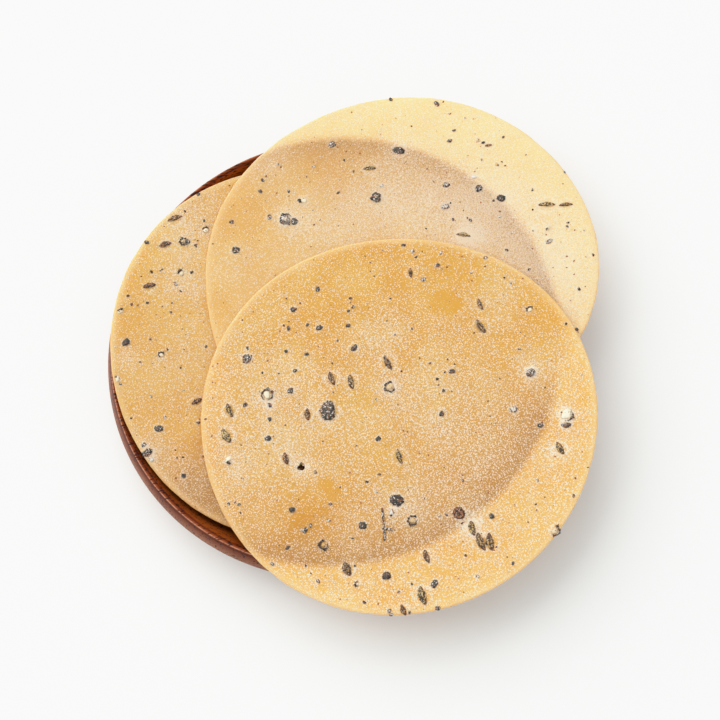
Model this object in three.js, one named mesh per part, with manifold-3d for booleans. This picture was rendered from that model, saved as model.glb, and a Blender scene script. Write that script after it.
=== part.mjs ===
// Three raw pepper papadums stacked askew in a small turned wooden dish.
// Millimetres, +Z up. The origin lies on the table, under the middle of the dish.
import * as THREE from "three";
import { mergeVertices } from "three/addons/utils/BufferGeometryUtils.js";
import Module from "manifold-3d";

const wasm = await Module();
wasm.setup();

// Driving dimensions of the dish
const DISH_HEIGHT = 20;
const LIP_RADIUS = 71.8; // to the crest of the lip
const LIP_OUTWARD = 0.4; // from the crest out to where the outer wall ends
const LIP_OUTER_DROP = 0.3;
const LIP_INWARD = 1.2; // from the crest in to where the inner wall starts
const LIP_INNER_DROP = 0.6;
const BULGE_RADIUS = 74.2; // the widest place of the outer wall
const BULGE_HEIGHT = 14;
const BULGE_ROUND = 1.4; // how far above the bulge the outer wall still runs upright
const BULGE_RISE = 9; // how far below the bulge the outer wall already runs upright
const FOOT_RADIUS = 44;
const FOOT_ROLL = 14; // how far out from the foot the outer wall stays low
const FLOOR_HEIGHT = 8; // the upper side of the dish's floor
const FLOOR_RADIUS = 54;
const WALL_FOOT_HEIGHT = 11.5; // where the inner wall runs out into the floor
const WALL_LEAN = THREE.MathUtils.degToRad(30); // of the inner wall, from upright
const DISH_SIDES = 60;
const CURVE_STEPS = 5;

// Driving dimensions of a rolled papadum
const SHEET_THICKNESS = 0.8;
const EDGE_ROUND = 0.3;
const EDGE_UPRIGHT = 0.35; // share of the edge's height that stands upright
const SHEET_SIDES = 72;
const SHEET_RINGS = [0.35, 0.65, 0.88]; // shares of the outline's radius

// Spice lumps: length, width and height of the rolled-in piece, of which half stands out
const SPICES = {
  corn: { length: 6, width: 5.6, height: 1.5 }, // a whole peppercorn, pressed flat
  pepper: { length: 3.8, width: 3.3, height: 1.3 }, // half a peppercorn
  bit: { length: 2.4, width: 1.9, height: 0.9 }, // cracked pepper
  cumin: { length: 4.8, width: 1.6, height: 1 },
  twig: { length: 8.5, width: 1.1, height: 0.9 },
};
const LUMP_SIDES = 6;
const LUMP_RINGS = 4;
const LUMP_SPACING = 5.5; // between the middles of scattered lumps
const EDGE_MARGIN = 2; // scattered lumps keep this far inside the sheet's edge
const COVER_MARGIN = 3.5; // and this far from a sheet or a dish that lies against the face
const SEED_SHARE = 0.25; // of the scattered lumps, the rest being cracked pepper
const LEAST_SCALE = 0.75;
const MOST_SCALE = 1.15;
const MOST_TRIES = 900;

// The sheets, from the lowest to the highest. A sheet rises towards an azimuth by its tilt.
// Its outline is a circle with lobes [count, height, azimuth]. The sheet is not quite flat:
// waves [count, height, azimuth] roll round its rim, and a bend lifts or drops it past a line.
// Spices are the large pieces that show: [kind, x, y, azimuth] on the sheet's upper face.
// The pinhole is left where a piece of spice has dropped out.
const PAPADUMS = [
  {
    name: "papadum_bottom",
    centre: [-9.1, 3.5, 15.45],
    tilt: 5.65,
    risesTo: 149,
    radius: 62.9,
    lobes: [[2, 0.6, -17], [3, 1.15, 1]],
    waves: [[2, 0.35, 60]],
    bend: { towards: 235, from: 30, rise: 0.5 },
    seed: 11,
    scattered: 12,
    scatteredBelow: 0,
    spices: [
      ["cumin", -32.2, 52.4, 10],
      ["cumin", -37.1, 44.2, -25],
      ["cumin", -44.8, 31.4, -5],
      ["pepper", -30.7, 43.8, 0],
      ["pepper", -56, 14.3, 40],
      ["pepper", -51.4, -16.1, 70],
      ["pepper", -55.6, -22.6, 20],
    ],
  },
  {
    name: "papadum_middle",
    centre: [24.4, 17.2, 20.8],
    tilt: 0.75,
    risesTo: 30,
    radius: 63.6,
    lobes: [[2, 2.4, 44], [3, 1.9, 0], [4, 1.1, -28]],
    waves: [[3, 0.25, 20]],
    bend: { towards: 52, from: 28, rise: -1.6 },
    seed: 23,
    scattered: 18,
    scatteredBelow: 9,
    spices: [
      ["corn", -29.3, 27.9, 0],
      ["pepper", -48.4, 22.1, 0],
      ["pepper", 11.2, 42.8, -20],
      ["pepper", 0.1, 28.4, 0],
      ["pepper", 23.2, 26.7, 30],
      ["pepper", 32.7, 22.7, 0],
      ["pepper", 39, 17.4, 60],
      ["pepper", 21, 19.3, 0],
      ["pepper", -9.8, 50.7, 20],
      ["cumin", 52.7, 11.5, -15],
      ["cumin", 58.4, 9.7, -12],
      ["cumin", 24.1, 8, -20],
      ["cumin", 0.3, 38.9, 5],
    ],
  },
  {
    name: "papadum_top",
    centre: [13.4, -29.3, 21.65],
    tilt: 0.65,
    risesTo: 13,
    radius: 61.6,
    lobes: [[2, 0.5, -10], [3, 0.65, 11], [4, 0.2, 35]],
    waves: [[2, 0.25, 100]],
    bend: { towards: 5, from: 30, rise: 1.3 },
    seed: 37,
    scattered: 20,
    scatteredBelow: 9,
    pinhole: { x: -32.5, y: -7.6, radius: 1.1, sides: 7 },
    spices: [
      ["corn", -20.1, 7.9, 0],
      ["corn", -6.3, -25.6, 40],
      ["pepper", -41.4, 31.3, 0],
      ["pepper", 11.3, -34, 0],
      ["pepper", 0.3, 10.6, 0],
      ["pepper", -37.7, 18.3, 0],
      ["corn", 51.1, -13.5, 30],
      ["pepper", 38.2, -46.5, 0],
      ["pepper", -3, -32.7, 0],
      ["pepper", 44, 3.8, 0],
      ["pepper", -31.2, -33.4, 0],
      ["cumin", 1.7, 18.6, 95],
      ["cumin", -16.6, 18.1, 75],
      ["cumin", -11, 15.4, 88],
      ["cumin", -26.7, 8.5, 80],
      ["cumin", -50.2, 16.1, 85],
      ["cumin", -53, 8.2, 100],
      ["cumin", -36.4, -3.8, 95],
      ["cumin", -2, -12.1, 85],
      ["cumin", 34.6, 30.1, 100],
      ["cumin", 32.9, 22.8, 90],
      ["cumin", 46.4, -22, 110],
      ["cumin", 14.1, -39.7, 80],
      ["cumin", 15.6, -44.6, 92],
      ["cumin", 18.6, -45, 88],
      ["cumin", -25.8, -42.4, 95],
      ["cumin", -5.5, -56, 82],
      ["twig", -11.9, -31.8, 80],
    ],
  },
];

const dishWood = new THREE.MeshStandardMaterial({ color: 0x7a3416, roughness: 0.35, metalness: 0 });
const lentilDough = new THREE.MeshStandardMaterial({ color: 0xe3b673, roughness: 0.8, metalness: 0 });

// A generator of even random numbers from 0 to 1 that repeats for a seed.
function seededRandom(seed) {
  let state = seed;
  return () => {
    state = (state * 1664525 + 1013904223) % 4294967296;
    return state / 4294967296;
  };
}

// A closed geometry as a solid that can be joined and cut.
function solidFrom(geometry) {
  geometry.deleteAttribute("normal");
  geometry.deleteAttribute("uv");
  const merged = mergeVertices(geometry, 1e-4);
  return new wasm.Manifold(
    new wasm.Mesh({
      numProp: 3,
      vertProperties: merged.attributes.position.array,
      triVerts: new Uint32Array(merged.index.array),
    }),
  );
}

function geometryFrom(solid) {
  const mesh = solid.getMesh();
  const geometry = new THREE.BufferGeometry();
  geometry.setAttribute("position", new THREE.BufferAttribute(mesh.vertProperties, 3));
  geometry.setIndex(new THREE.BufferAttribute(mesh.triVerts, 1));
  geometry.computeVertexNormals();
  return geometry;
}

// The dish is turned: one profile swept round its axis. The profile runs out along the flat
// foot, up the full outer wall, over the narrow lip, and down the leaning inner wall.
function dishGeometry() {
  const lipOuter = LIP_RADIUS + LIP_OUTWARD;
  const outerTop = DISH_HEIGHT - LIP_OUTER_DROP;
  const lipInner = LIP_RADIUS - LIP_INWARD;
  const innerTop = DISH_HEIGHT - LIP_INNER_DROP;
  const wallRadius = lipInner - (innerTop - WALL_FOOT_HEIGHT) * Math.tan(WALL_LEAN);
  const cornerRadius = wallRadius - (WALL_FOOT_HEIGHT - FLOOR_HEIGHT) * Math.tan(WALL_LEAN);
  const profile = new THREE.Path();
  profile.moveTo(0, 0);
  profile.lineTo(FOOT_RADIUS, 0);
  const rise = BULGE_HEIGHT - BULGE_RISE;
  profile.bezierCurveTo(FOOT_RADIUS + FOOT_ROLL, 0, BULGE_RADIUS, rise, BULGE_RADIUS, BULGE_HEIGHT);
  profile.quadraticCurveTo(BULGE_RADIUS, BULGE_HEIGHT + BULGE_ROUND, lipOuter, outerTop);
  profile.quadraticCurveTo(lipOuter - LIP_OUTER_DROP / 2, DISH_HEIGHT, LIP_RADIUS, DISH_HEIGHT);
  profile.quadraticCurveTo(lipInner + LIP_INNER_DROP, DISH_HEIGHT, lipInner, innerTop);
  profile.lineTo(wallRadius, WALL_FOOT_HEIGHT);
  profile.quadraticCurveTo(cornerRadius, FLOOR_HEIGHT, FLOOR_RADIUS, FLOOR_HEIGHT);
  profile.lineTo(0, FLOOR_HEIGHT);
  const geometry = new THREE.LatheGeometry(profile.getPoints(CURVE_STEPS), DISH_SIDES);
  geometry.rotateX(Math.PI / 2);
  return geometryFrom(solidFrom(geometry));
}

function radiusAt(papadum, azimuth) {
  const lobe = ([count, height, towards]) =>
    height * Math.cos(count * (azimuth - THREE.MathUtils.degToRad(towards)));
  return papadum.lobes.reduce((radius, each) => radius + lobe(each), papadum.radius);
}

// Height of the sheet's middle surface over its own flat plane.
function liftAt(papadum, x, y) {
  const share = Math.hypot(x, y) / papadum.radius;
  const azimuth = Math.atan2(y, x);
  const wave = ([count, height, towards]) =>
    height * share ** 2 * Math.cos(count * (azimuth - THREE.MathUtils.degToRad(towards)));
  const bend = papadum.bend;
  const towards = THREE.MathUtils.degToRad(bend.towards);
  const past = x * Math.cos(towards) + y * Math.sin(towards) - bend.from;
  const bent = bend.rise * Math.max(0, past / (papadum.radius - bend.from)) ** 2;
  return papadum.waves.reduce((height, each) => height + wave(each), bent);
}

// The bare sheet: rings of points over both faces, joined round a softly rounded edge.
function sheetSolid(papadum) {
  const half = SHEET_THICKNESS / 2;
  const face = SHEET_RINGS.map((share) => ({ share, inset: 0, height: half }));
  const upper = [...face, { share: 1, inset: EDGE_ROUND, height: half }];
  upper.push({ share: 1, inset: 0, height: half * EDGE_UPRIGHT });
  const lower = upper.map((ring) => ({ ...ring, height: -ring.height })).reverse();
  const rings = [...upper, ...lower];
  const points = [];
  for (const { share, inset, height } of rings) {
    for (let side = 0; side < SHEET_SIDES; side++) {
      const azimuth = (side / SHEET_SIDES) * 2 * Math.PI;
      const radius = share * radiusAt(papadum, azimuth) - inset;
      const x = radius * Math.cos(azimuth);
      const y = radius * Math.sin(azimuth);
      points.push(x, y, liftAt(papadum, x, y) + height);
    }
  }
  const top = points.length / 3;
  points.push(0, 0, liftAt(papadum, 0, 0) + half);
  points.push(0, 0, liftAt(papadum, 0, 0) - half);
  const faces = [];
  const last = (rings.length - 1) * SHEET_SIDES;
  for (let side = 0; side < SHEET_SIDES; side++) {
    const next = (side + 1) % SHEET_SIDES;
    faces.push(top, side, next);
    faces.push(top + 1, last + next, last + side);
    for (let ring = 0; ring < rings.length - 1; ring++) {
      const inner = ring * SHEET_SIDES;
      const outer = inner + SHEET_SIDES;
      faces.push(inner + side, outer + side, outer + next);
      faces.push(inner + side, outer + next, inner + next);
    }
  }
  const geometry = new THREE.BufferGeometry();
  geometry.setAttribute("position", new THREE.Float32BufferAttribute(points, 3));
  geometry.setIndex(faces);
  return solidFrom(geometry);
}

// One spice lump, a low rounded body half sunk in a face of the sheet.
function lumpSolid(papadum, { kind, x, y, turn, scale, face }) {
  const { length, width, height } = SPICES[kind];
  const geometry = new THREE.SphereGeometry(0.5, LUMP_SIDES, LUMP_RINGS);
  geometry.rotateX(Math.PI / 2);
  geometry.scale(length * scale, width * scale, height * scale);
  geometry.rotateZ(THREE.MathUtils.degToRad(turn));
  geometry.translate(x, y, liftAt(papadum, x, y) + (face * SHEET_THICKNESS) / 2);
  return solidFrom(geometry);
}

// A point of a sheet, in the frame of the whole stack.
function placed(papadum, x, y) {
  return new THREE.Vector3(x, y, liftAt(papadum, x, y))
    .applyQuaternion(tiltOf(papadum))
    .add(new THREE.Vector3(...papadum.centre));
}

function tiltOf(papadum) {
  const tilt = THREE.MathUtils.degToRad(papadum.tilt);
  const azimuth = THREE.MathUtils.degToRad(papadum.risesTo);
  const axis = new THREE.Vector3(Math.sin(azimuth), -Math.cos(azimuth), 0);
  return new THREE.Quaternion().setFromAxisAngle(axis, tilt);
}

// Whether a point of the stack lies over or under a sheet, with a margin round it.
function reaches(papadum, point, margin) {
  const x = point.x - papadum.centre[0];
  const y = point.y - papadum.centre[1];
  return Math.hypot(x, y) < radiusAt(papadum, Math.atan2(y, x)) + margin;
}

// A face of a sheet takes lumps only where nothing lies against it.
function isBare(papadum, x, y, face) {
  const point = placed(papadum, x, y);
  const index = PAPADUMS.indexOf(papadum);
  const others = face > 0 ? PAPADUMS.slice(index + 1) : PAPADUMS.slice(0, index);
  const overDish = face < 0 && Math.hypot(point.x, point.y) < BULGE_RADIUS + COVER_MARGIN;
  return !overDish && !others.some((other) => reaches(other, point, COVER_MARGIN));
}

// Cracked pepper and broken seeds fill the space between the placed spices, by a seeded draw.
function scatteredLumps(papadum, placedLumps, count, face, random) {
  const lumps = [];
  for (let tries = 0; lumps.length < count && tries < MOST_TRIES; tries++) {
    const azimuth = random() * 2 * Math.PI;
    const radius = Math.sqrt(random()) * (radiusAt(papadum, azimuth) - EDGE_MARGIN);
    const kind = random() < SEED_SHARE ? "cumin" : "bit";
    const turn = random() * 180;
    const scale = LEAST_SCALE + (MOST_SCALE - LEAST_SCALE) * random();
    const x = radius * Math.cos(azimuth);
    const y = radius * Math.sin(azimuth);
    const near = (lump) => Math.hypot(lump.x - x, lump.y - y) < LUMP_SPACING;
    if (isBare(papadum, x, y, face) && ![...placedLumps, ...lumps].some(near)) {
      lumps.push({ kind, x, y, turn, scale, face });
    }
  }
  return lumps;
}

function papadumGeometry(papadum) {
  const random = seededRandom(papadum.seed);
  const lumps = papadum.spices.map(([kind, x, y, turn]) => ({ kind, x, y, turn, scale: 1, face: 1 }));
  const above = scatteredLumps(papadum, lumps, papadum.scattered, 1, random);
  const below = scatteredLumps(papadum, [], papadum.scatteredBelow, -1, random);
  let solid = sheetSolid(papadum);
  for (const lump of [...lumps, ...above, ...below]) {
    solid = solid.add(lumpSolid(papadum, lump));
  }
  if (papadum.pinhole) {
    solid = solid.subtract(pinholeSolid(papadum));
  }
  return geometryFrom(solid);
}

function pinholeSolid(papadum) {
  const { x, y, radius, sides } = papadum.pinhole;
  const geometry = new THREE.CylinderGeometry(radius, radius, SHEET_THICKNESS * 3, sides);
  geometry.rotateX(Math.PI / 2);
  geometry.translate(x, y, liftAt(papadum, x, y));
  return solidFrom(geometry);
}

const stack = new THREE.Group();

const dish = new THREE.Mesh(dishGeometry(), dishWood);
dish.name = "dish";
stack.add(dish);

for (const papadum of PAPADUMS) {
  const mesh = new THREE.Mesh(papadumGeometry(papadum), lentilDough.clone());
  mesh.name = papadum.name;
  mesh.position.set(...papadum.centre);
  mesh.quaternion.copy(tiltOf(papadum));
  stack.add(mesh);
}

export default stack;
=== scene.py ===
# %% [markdown]
# # Raw pepper papadums in a turned dish
# A papadum is a wafer of lentil dough with cracked pepper and cumin, rolled less than a
# millimetre thin and dried. Three of them lie askew in a small dish of lacquered wood.
# The plain solids of the dish and the three sheets exist already, at their real size. They
# could be painted as they are, but a wafer lives by its grain, its flour and its spices.
# So this lesson keeps the solids as a fixed frame, and builds each visible surface on them.

# %% Load the frame
import math
from collections import namedtuple
from functools import cache

import bmesh
import bpy
import numpy as np
from mathutils import Matrix, Vector, noise


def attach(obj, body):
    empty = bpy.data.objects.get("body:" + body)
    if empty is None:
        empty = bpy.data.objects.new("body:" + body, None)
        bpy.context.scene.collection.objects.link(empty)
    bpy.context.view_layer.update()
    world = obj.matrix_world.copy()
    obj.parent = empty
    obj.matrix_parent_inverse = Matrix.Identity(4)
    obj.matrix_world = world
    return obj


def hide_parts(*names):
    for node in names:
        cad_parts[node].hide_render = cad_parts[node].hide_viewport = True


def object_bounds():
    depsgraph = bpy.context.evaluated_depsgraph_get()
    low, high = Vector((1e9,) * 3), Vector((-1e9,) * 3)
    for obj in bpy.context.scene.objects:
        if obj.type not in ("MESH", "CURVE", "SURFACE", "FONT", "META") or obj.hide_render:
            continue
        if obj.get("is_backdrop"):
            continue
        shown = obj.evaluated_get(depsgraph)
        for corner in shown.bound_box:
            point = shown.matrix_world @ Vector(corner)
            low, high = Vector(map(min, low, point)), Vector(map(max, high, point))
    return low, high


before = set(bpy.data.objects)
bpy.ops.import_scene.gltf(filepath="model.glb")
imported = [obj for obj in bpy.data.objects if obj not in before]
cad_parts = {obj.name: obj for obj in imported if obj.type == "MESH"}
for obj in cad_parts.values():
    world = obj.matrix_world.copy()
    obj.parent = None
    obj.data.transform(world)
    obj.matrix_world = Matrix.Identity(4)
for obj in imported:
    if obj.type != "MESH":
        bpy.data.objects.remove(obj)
cad_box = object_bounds()
MM = 0.001  # Blender counts in metres, and the sizes below are in millimetres
print("nodes of the frame:", sorted(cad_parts))

# %% [markdown]
# ## The camera
# The stack is seen from above, a little from the front, with the camera slightly rolled.
# A camera can be aimed by a constraint, or by a matrix of its own three directions. The matrix
# is used here, because the same three directions later find the place under each pixel.

# %% Camera
FRAME_PIXELS = 720
LENS = 90
SENSOR = 36
LOOK_DOWN = math.radians(71)
ROLL = math.radians(14)
LOOK_AT = Vector((6.7, -6.9, 20))
DISTANCE = 570

level_right = Vector((1, 0, 0))
level_up = Vector((0, math.sin(LOOK_DOWN), math.cos(LOOK_DOWN)))
back = Vector((0, -math.cos(LOOK_DOWN), math.sin(LOOK_DOWN)))
right = math.cos(ROLL) * level_right - math.sin(ROLL) * level_up
up = math.sin(ROLL) * level_right + math.cos(ROLL) * level_up
eye = LOOK_AT + DISTANCE * back

camera_data = bpy.data.cameras.new("photo_camera")
camera_data.lens = LENS
camera_data.sensor_width = SENSOR
camera = bpy.data.objects.new("photo_camera", camera_data)
camera.matrix_world = Matrix((right, up, back)).transposed().to_4x4()
camera.location = eye * MM
bpy.context.scene.collection.objects.link(camera)
bpy.context.scene.camera = camera
print("camera at", [round(value) for value in eye], "mm")

# %% [markdown]
# ## Light
# The photo is lit by a large soft window at the upper left, with white all around, so the
# shadow falls wide and faint to the lower right. A sun lamp would draw that shadow too hard.
# So one big area light gives the direction, and an even white world fills the rest.

# %% Light
SHADOW_TOWARDS = -54  # in degrees, anticlockwise from +X as seen from above
WINDOW_HEIGHT = math.radians(40)
WINDOW_DISTANCE = 2000
WINDOW_SIZE = 3100
WINDOW_POWER = 58
WORLD_BRIGHTNESS = 0.81


def srgb(red, green, blue):
    """A colour as read off a screen, in the linear numbers that shaders use."""
    def linear(value):
        share = value / 255
        return share / 12.92 if share < 0.04 else ((share + 0.055) / 1.055) ** 2.4

    return (linear(red), linear(green), linear(blue), 1)


SKY_WHITE = srgb(253, 254, 255)
WINDOW_WHITE = srgb(255, 250, 243)

world = bpy.data.worlds.new("white_room")
world.use_nodes = True
sky = world.node_tree.nodes["Background"]
sky.inputs["Color"].default_value = SKY_WHITE
sky.inputs["Strength"].default_value = WORLD_BRIGHTNESS
bpy.context.scene.world = world

window_azimuth = math.radians(SHADOW_TOWARDS + 180)
window_from = Vector((
    math.cos(WINDOW_HEIGHT) * math.cos(window_azimuth),
    math.cos(WINDOW_HEIGHT) * math.sin(window_azimuth),
    math.sin(WINDOW_HEIGHT),
))
window_data = bpy.data.lights.new("window", "AREA")
window_data.size = WINDOW_SIZE * MM
window_data.energy = WINDOW_POWER
window_data.color = WINDOW_WHITE[:3]
window = bpy.data.objects.new("window", window_data)
window.location = window_from * WINDOW_DISTANCE * MM
window.rotation_euler = window_from.to_track_quat("Z", "Y").to_euler()
bpy.context.scene.collection.objects.link(window)
print("the light comes from", [round(value, 2) for value in window_from])

# %% [markdown]
# ## How the picture answers to light
# A camera doesn't cut bright light off: the last steps up to white come closer and closer
# together. The plain view transform does cut it off, so a curve is laid before it. Up to
# middle tones it changes nothing, and above them it bends softly towards the white of paper.

# %% Response to light
RESPONSE = [(0, 0), (0.6, 0.6), (0.82, 0.79), (1.0, 0.9), (1.2, 0.95), (1.5, 0.957), (3, 0.958)]
ALL_COLOURS = 3  # the curve for all colours comes after those for red, green and blue

view = bpy.context.scene.view_settings
view.view_transform = "Standard"
view.use_curve_mapping = True
view.curve_mapping.clip_max_x = RESPONSE[-1][0]
response = view.curve_mapping.curves[ALL_COLOURS]
response.points[1].location = RESPONSE[-1]
for light, shown in RESPONSE[1:-1]:
    response.points.new(light, shown)
for point in response.points:
    point.handle_type = "AUTO_CLAMPED"
view.curve_mapping.update()
print("points of the response curve:", len(response.points))

# %% [markdown]
# ## Two helpers for meshes
# Everything here is built from lists of points and faces, which is the plainest way to make a
# mesh and gives exact control. One helper turns such lists into an object. The other hands a
# finished piece over: it gets its finish, and it rides on the one body that the stack has.

# %% Helpers for meshes
BODY = "root"
SHARP_EDGE = math.radians(50)


def mesh_piece(name, points, faces):
    """A smooth mesh object from points in millimetres."""
    mesh = bpy.data.meshes.new(name)
    mesh.from_pydata((np.asarray(points) * MM).tolist(), [], faces)
    mesh.shade_smooth()
    piece = bpy.data.objects.new(name, mesh)
    bpy.context.scene.collection.objects.link(piece)
    return piece


def mark(piece, name, values):
    """Stores one number per point, which a finish can read."""
    layer = piece.data.attributes.new(name, "FLOAT", "POINT")
    layer.data.foreach_set("value", np.asarray(values, np.float32))


def hand_over(piece, finish, slot, *nodes):
    """The piece gets its finish and rides with the stack, and stands for these nodes."""
    piece.data.materials.append(finish)
    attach(piece, BODY)
    if nodes:
        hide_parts(*nodes)
    triangles = sum(len(face.vertices) - 2 for face in piece.data.polygons)
    print(piece.name, "has", triangles, "triangles")


# %% [markdown]
# ## A helper for finishes
# A finish is a small network of shader nodes. Wiring each node by hand takes five lines, and
# hides the idea. This class keeps one principled shader and offers the few moves that the
# finishes below need: a grain of a given size, a blend of two colours, a bump.

# %% Helper for finishes
MIX_SHARE, MIX_FIRST, MIX_SECOND = 0, 6, 7  # the mix node's sockets for colours share their
MIX_RESULT = 2  # names with those for numbers, so they are found by their number


class Finish:
    """A material in the making, around one principled shader."""

    def __init__(self, name, **settings):
        self.material = bpy.data.materials.new(name)
        self.material.use_nodes = True
        self.nodes = self.material.node_tree.nodes
        self.links = self.material.node_tree.links
        self.shader = self.nodes["Principled BSDF"]
        self.place = self.nodes.new("ShaderNodeTexCoord").outputs["Object"]
        for setting, value in settings.items():
            self.shader.inputs[setting.replace("_", " ")].default_value = value

    def give(self, socket, value):
        """Wires a socket to another one, or sets it to a number or a colour."""
        if isinstance(value, bpy.types.NodeSocket):
            self.links.new(value, socket)
        else:
            socket.default_value = value

    def mark(self, name):
        """The number that is stored under this name with each point."""
        node = self.nodes.new("ShaderNodeAttribute")
        node.attribute_name = name
        return node.outputs["Fac"]

    def stretched(self, scale, turn):
        """Places in space, turned and squeezed, so that a grain read there is drawn out."""
        node = self.nodes.new("ShaderNodeMapping")
        self.links.new(self.place, node.inputs["Vector"])
        node.inputs["Scale"].default_value = scale
        node.inputs["Rotation"].default_value = turn
        return node.outputs["Vector"]

    def grain(self, size, place=None, detail=2, roughness=0.5, twist=0):
        """Cloudy noise with lumps about this many millimetres wide."""
        node = self.nodes.new("ShaderNodeTexNoise")
        self.links.new(place or self.place, node.inputs["Vector"])
        node.inputs["Scale"].default_value = 1 / (size * MM)
        node.inputs["Detail"].default_value = detail
        node.inputs["Roughness"].default_value = roughness
        node.inputs["Distortion"].default_value = twist
        return node.outputs["Fac"]

    def cells(self, size):
        """How far each place is from the nearest of many scattered dots."""
        node = self.nodes.new("ShaderNodeTexVoronoi")
        self.links.new(self.place, node.inputs["Vector"])
        node.inputs["Scale"].default_value = 1 / (size * MM)
        return node.outputs["Distance"]

    def between(self, value, low, high, to_low=0.0, to_high=1.0):
        """The value's place between low and high, cut off at both ends."""
        node = self.nodes.new("ShaderNodeMapRange")
        for name, given in (("Value", value), ("From Min", low), ("From Max", high)):
            self.give(node.inputs[name], given)
        self.give(node.inputs["To Min"], to_low)
        self.give(node.inputs["To Max"], to_high)
        return node.outputs["Result"]

    def blend(self, share, first, second):
        """The first colour at a share of 0, and the second at 1."""
        node = self.nodes.new("ShaderNodeMix")
        node.data_type = "RGBA"
        self.give(node.inputs[MIX_SHARE], share)
        self.give(node.inputs[MIX_FIRST], first)
        self.give(node.inputs[MIX_SECOND], second)
        return node.outputs[MIX_RESULT]

    def sum(self, *parts):
        """Adds values up, each a pair of a socket or number and its weight."""
        total = None
        for value, weight in parts:
            node = self.nodes.new("ShaderNodeMath")
            node.operation = "MULTIPLY_ADD"
            self.give(node.inputs[0], value)
            node.inputs[1].default_value = weight
            self.give(node.inputs[2], 0.0 if total is None else total)
            total = node.outputs["Value"]
        return total

    def product(self, first, second):
        """One value times the other, which may be a plain number."""
        node = self.nodes.new("ShaderNodeMath")
        node.operation = "MULTIPLY"
        self.give(node.inputs[0], first)
        self.give(node.inputs[1], second)
        return node.outputs["Value"]

    def near(self, value, middle, reach):
        """1 where the value meets the middle, and falling to 0 this far away on both sides."""
        away = self.nodes.new("ShaderNodeMath")
        away.operation = "SUBTRACT"
        self.give(away.inputs[0], value)
        self.give(away.inputs[1], middle)
        size = self.nodes.new("ShaderNodeMath")
        size.operation = "ABSOLUTE"
        self.links.new(away.outputs["Value"], size.inputs[0])
        return self.between(size.outputs["Value"], 0, reach, 1, 0)

    def show(self, colour, height=None, depth=0.1):
        """Wires up the colour, and where a height is given, a bump this many mm deep."""
        self.links.new(colour, self.shader.inputs["Base Color"])
        if height is not None:
            node = self.nodes.new("ShaderNodeBump")
            node.inputs["Distance"].default_value = depth * MM
            self.links.new(height, node.inputs["Height"])
            self.links.new(node.outputs["Normal"], self.shader.inputs["Normal"])
        return self.material


# %% [markdown]
# ## The table
# The dish stands on a white table top whose edges are out of view. A modelled slab would show
# nothing more than one large flat face does, so the table is that face. Its matt white has
# broad clouds, so faint that they only keep it from looking like cut paper.

# %% The table
TABLE_SIZE = 6000
TABLE_CLOUDS = 160
TABLE_WHITE = srgb(248, 251, 250)
TABLE_GREYER = srgb(244, 248, 247)


def table_finish():
    finish = Finish("matt_white_table", Roughness=0.9)
    return finish.show(finish.blend(finish.grain(TABLE_CLOUDS), TABLE_WHITE, TABLE_GREYER))


half_table = TABLE_SIZE / 2
corners = [(-half_table, -half_table, 0), (half_table, -half_table, 0)]
corners += [(half_table, half_table, 0), (-half_table, half_table, 0)]
table = mesh_piece("table", corners, [(0, 1, 2, 3)])
table.data.materials.append(table_finish())
table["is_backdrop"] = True
print("the table is", TABLE_SIZE, "mm wide")

# %% [markdown]
# ## The dish
# The dish is turned on a lathe: a flat foot, a full outer wall, a narrow rounded lip and an
# inner wall that leans out. In Blender a lathe is a profile spun round an axis, by the Screw
# modifier or by a loop. The loop is used, because its profile is the same few named sizes that
# the plain solid has, only with finer curves, so that the fine dish fits the frame exactly.

# %% The profile of the dish
DISH_HEIGHT = 20
LIP_RADIUS = 71.8
LIP_OUTWARD = 0.4
LIP_OUTER_DROP = 0.3
LIP_INWARD = 1.2
LIP_INNER_DROP = 0.6
BULGE_RADIUS = 74.2
BULGE_HEIGHT = 14
BULGE_ROUND = 1.4
BULGE_RISE = 9
FOOT_RADIUS = 44
FOOT_ROLL = 14
FLOOR_HEIGHT = 8
FLOOR_RADIUS = 54
WALL_FOOT_HEIGHT = 11.5
WALL_LEAN = math.tan(math.radians(30))
PROFILE_STEPS = 14
FLAT_STEPS = 8
DISH_SIDES = 216


def bend(*handles, steps=PROFILE_STEPS):
    """Points along a curve from its first to its last handle, without the first."""
    points = []
    for step in range(1, steps + 1):
        row = [Vector(handle) for handle in handles]
        while len(row) > 1:
            row = [start.lerp(end, step / steps) for start, end in zip(row, row[1:])]
        points.append(row[0])
    return points


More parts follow.
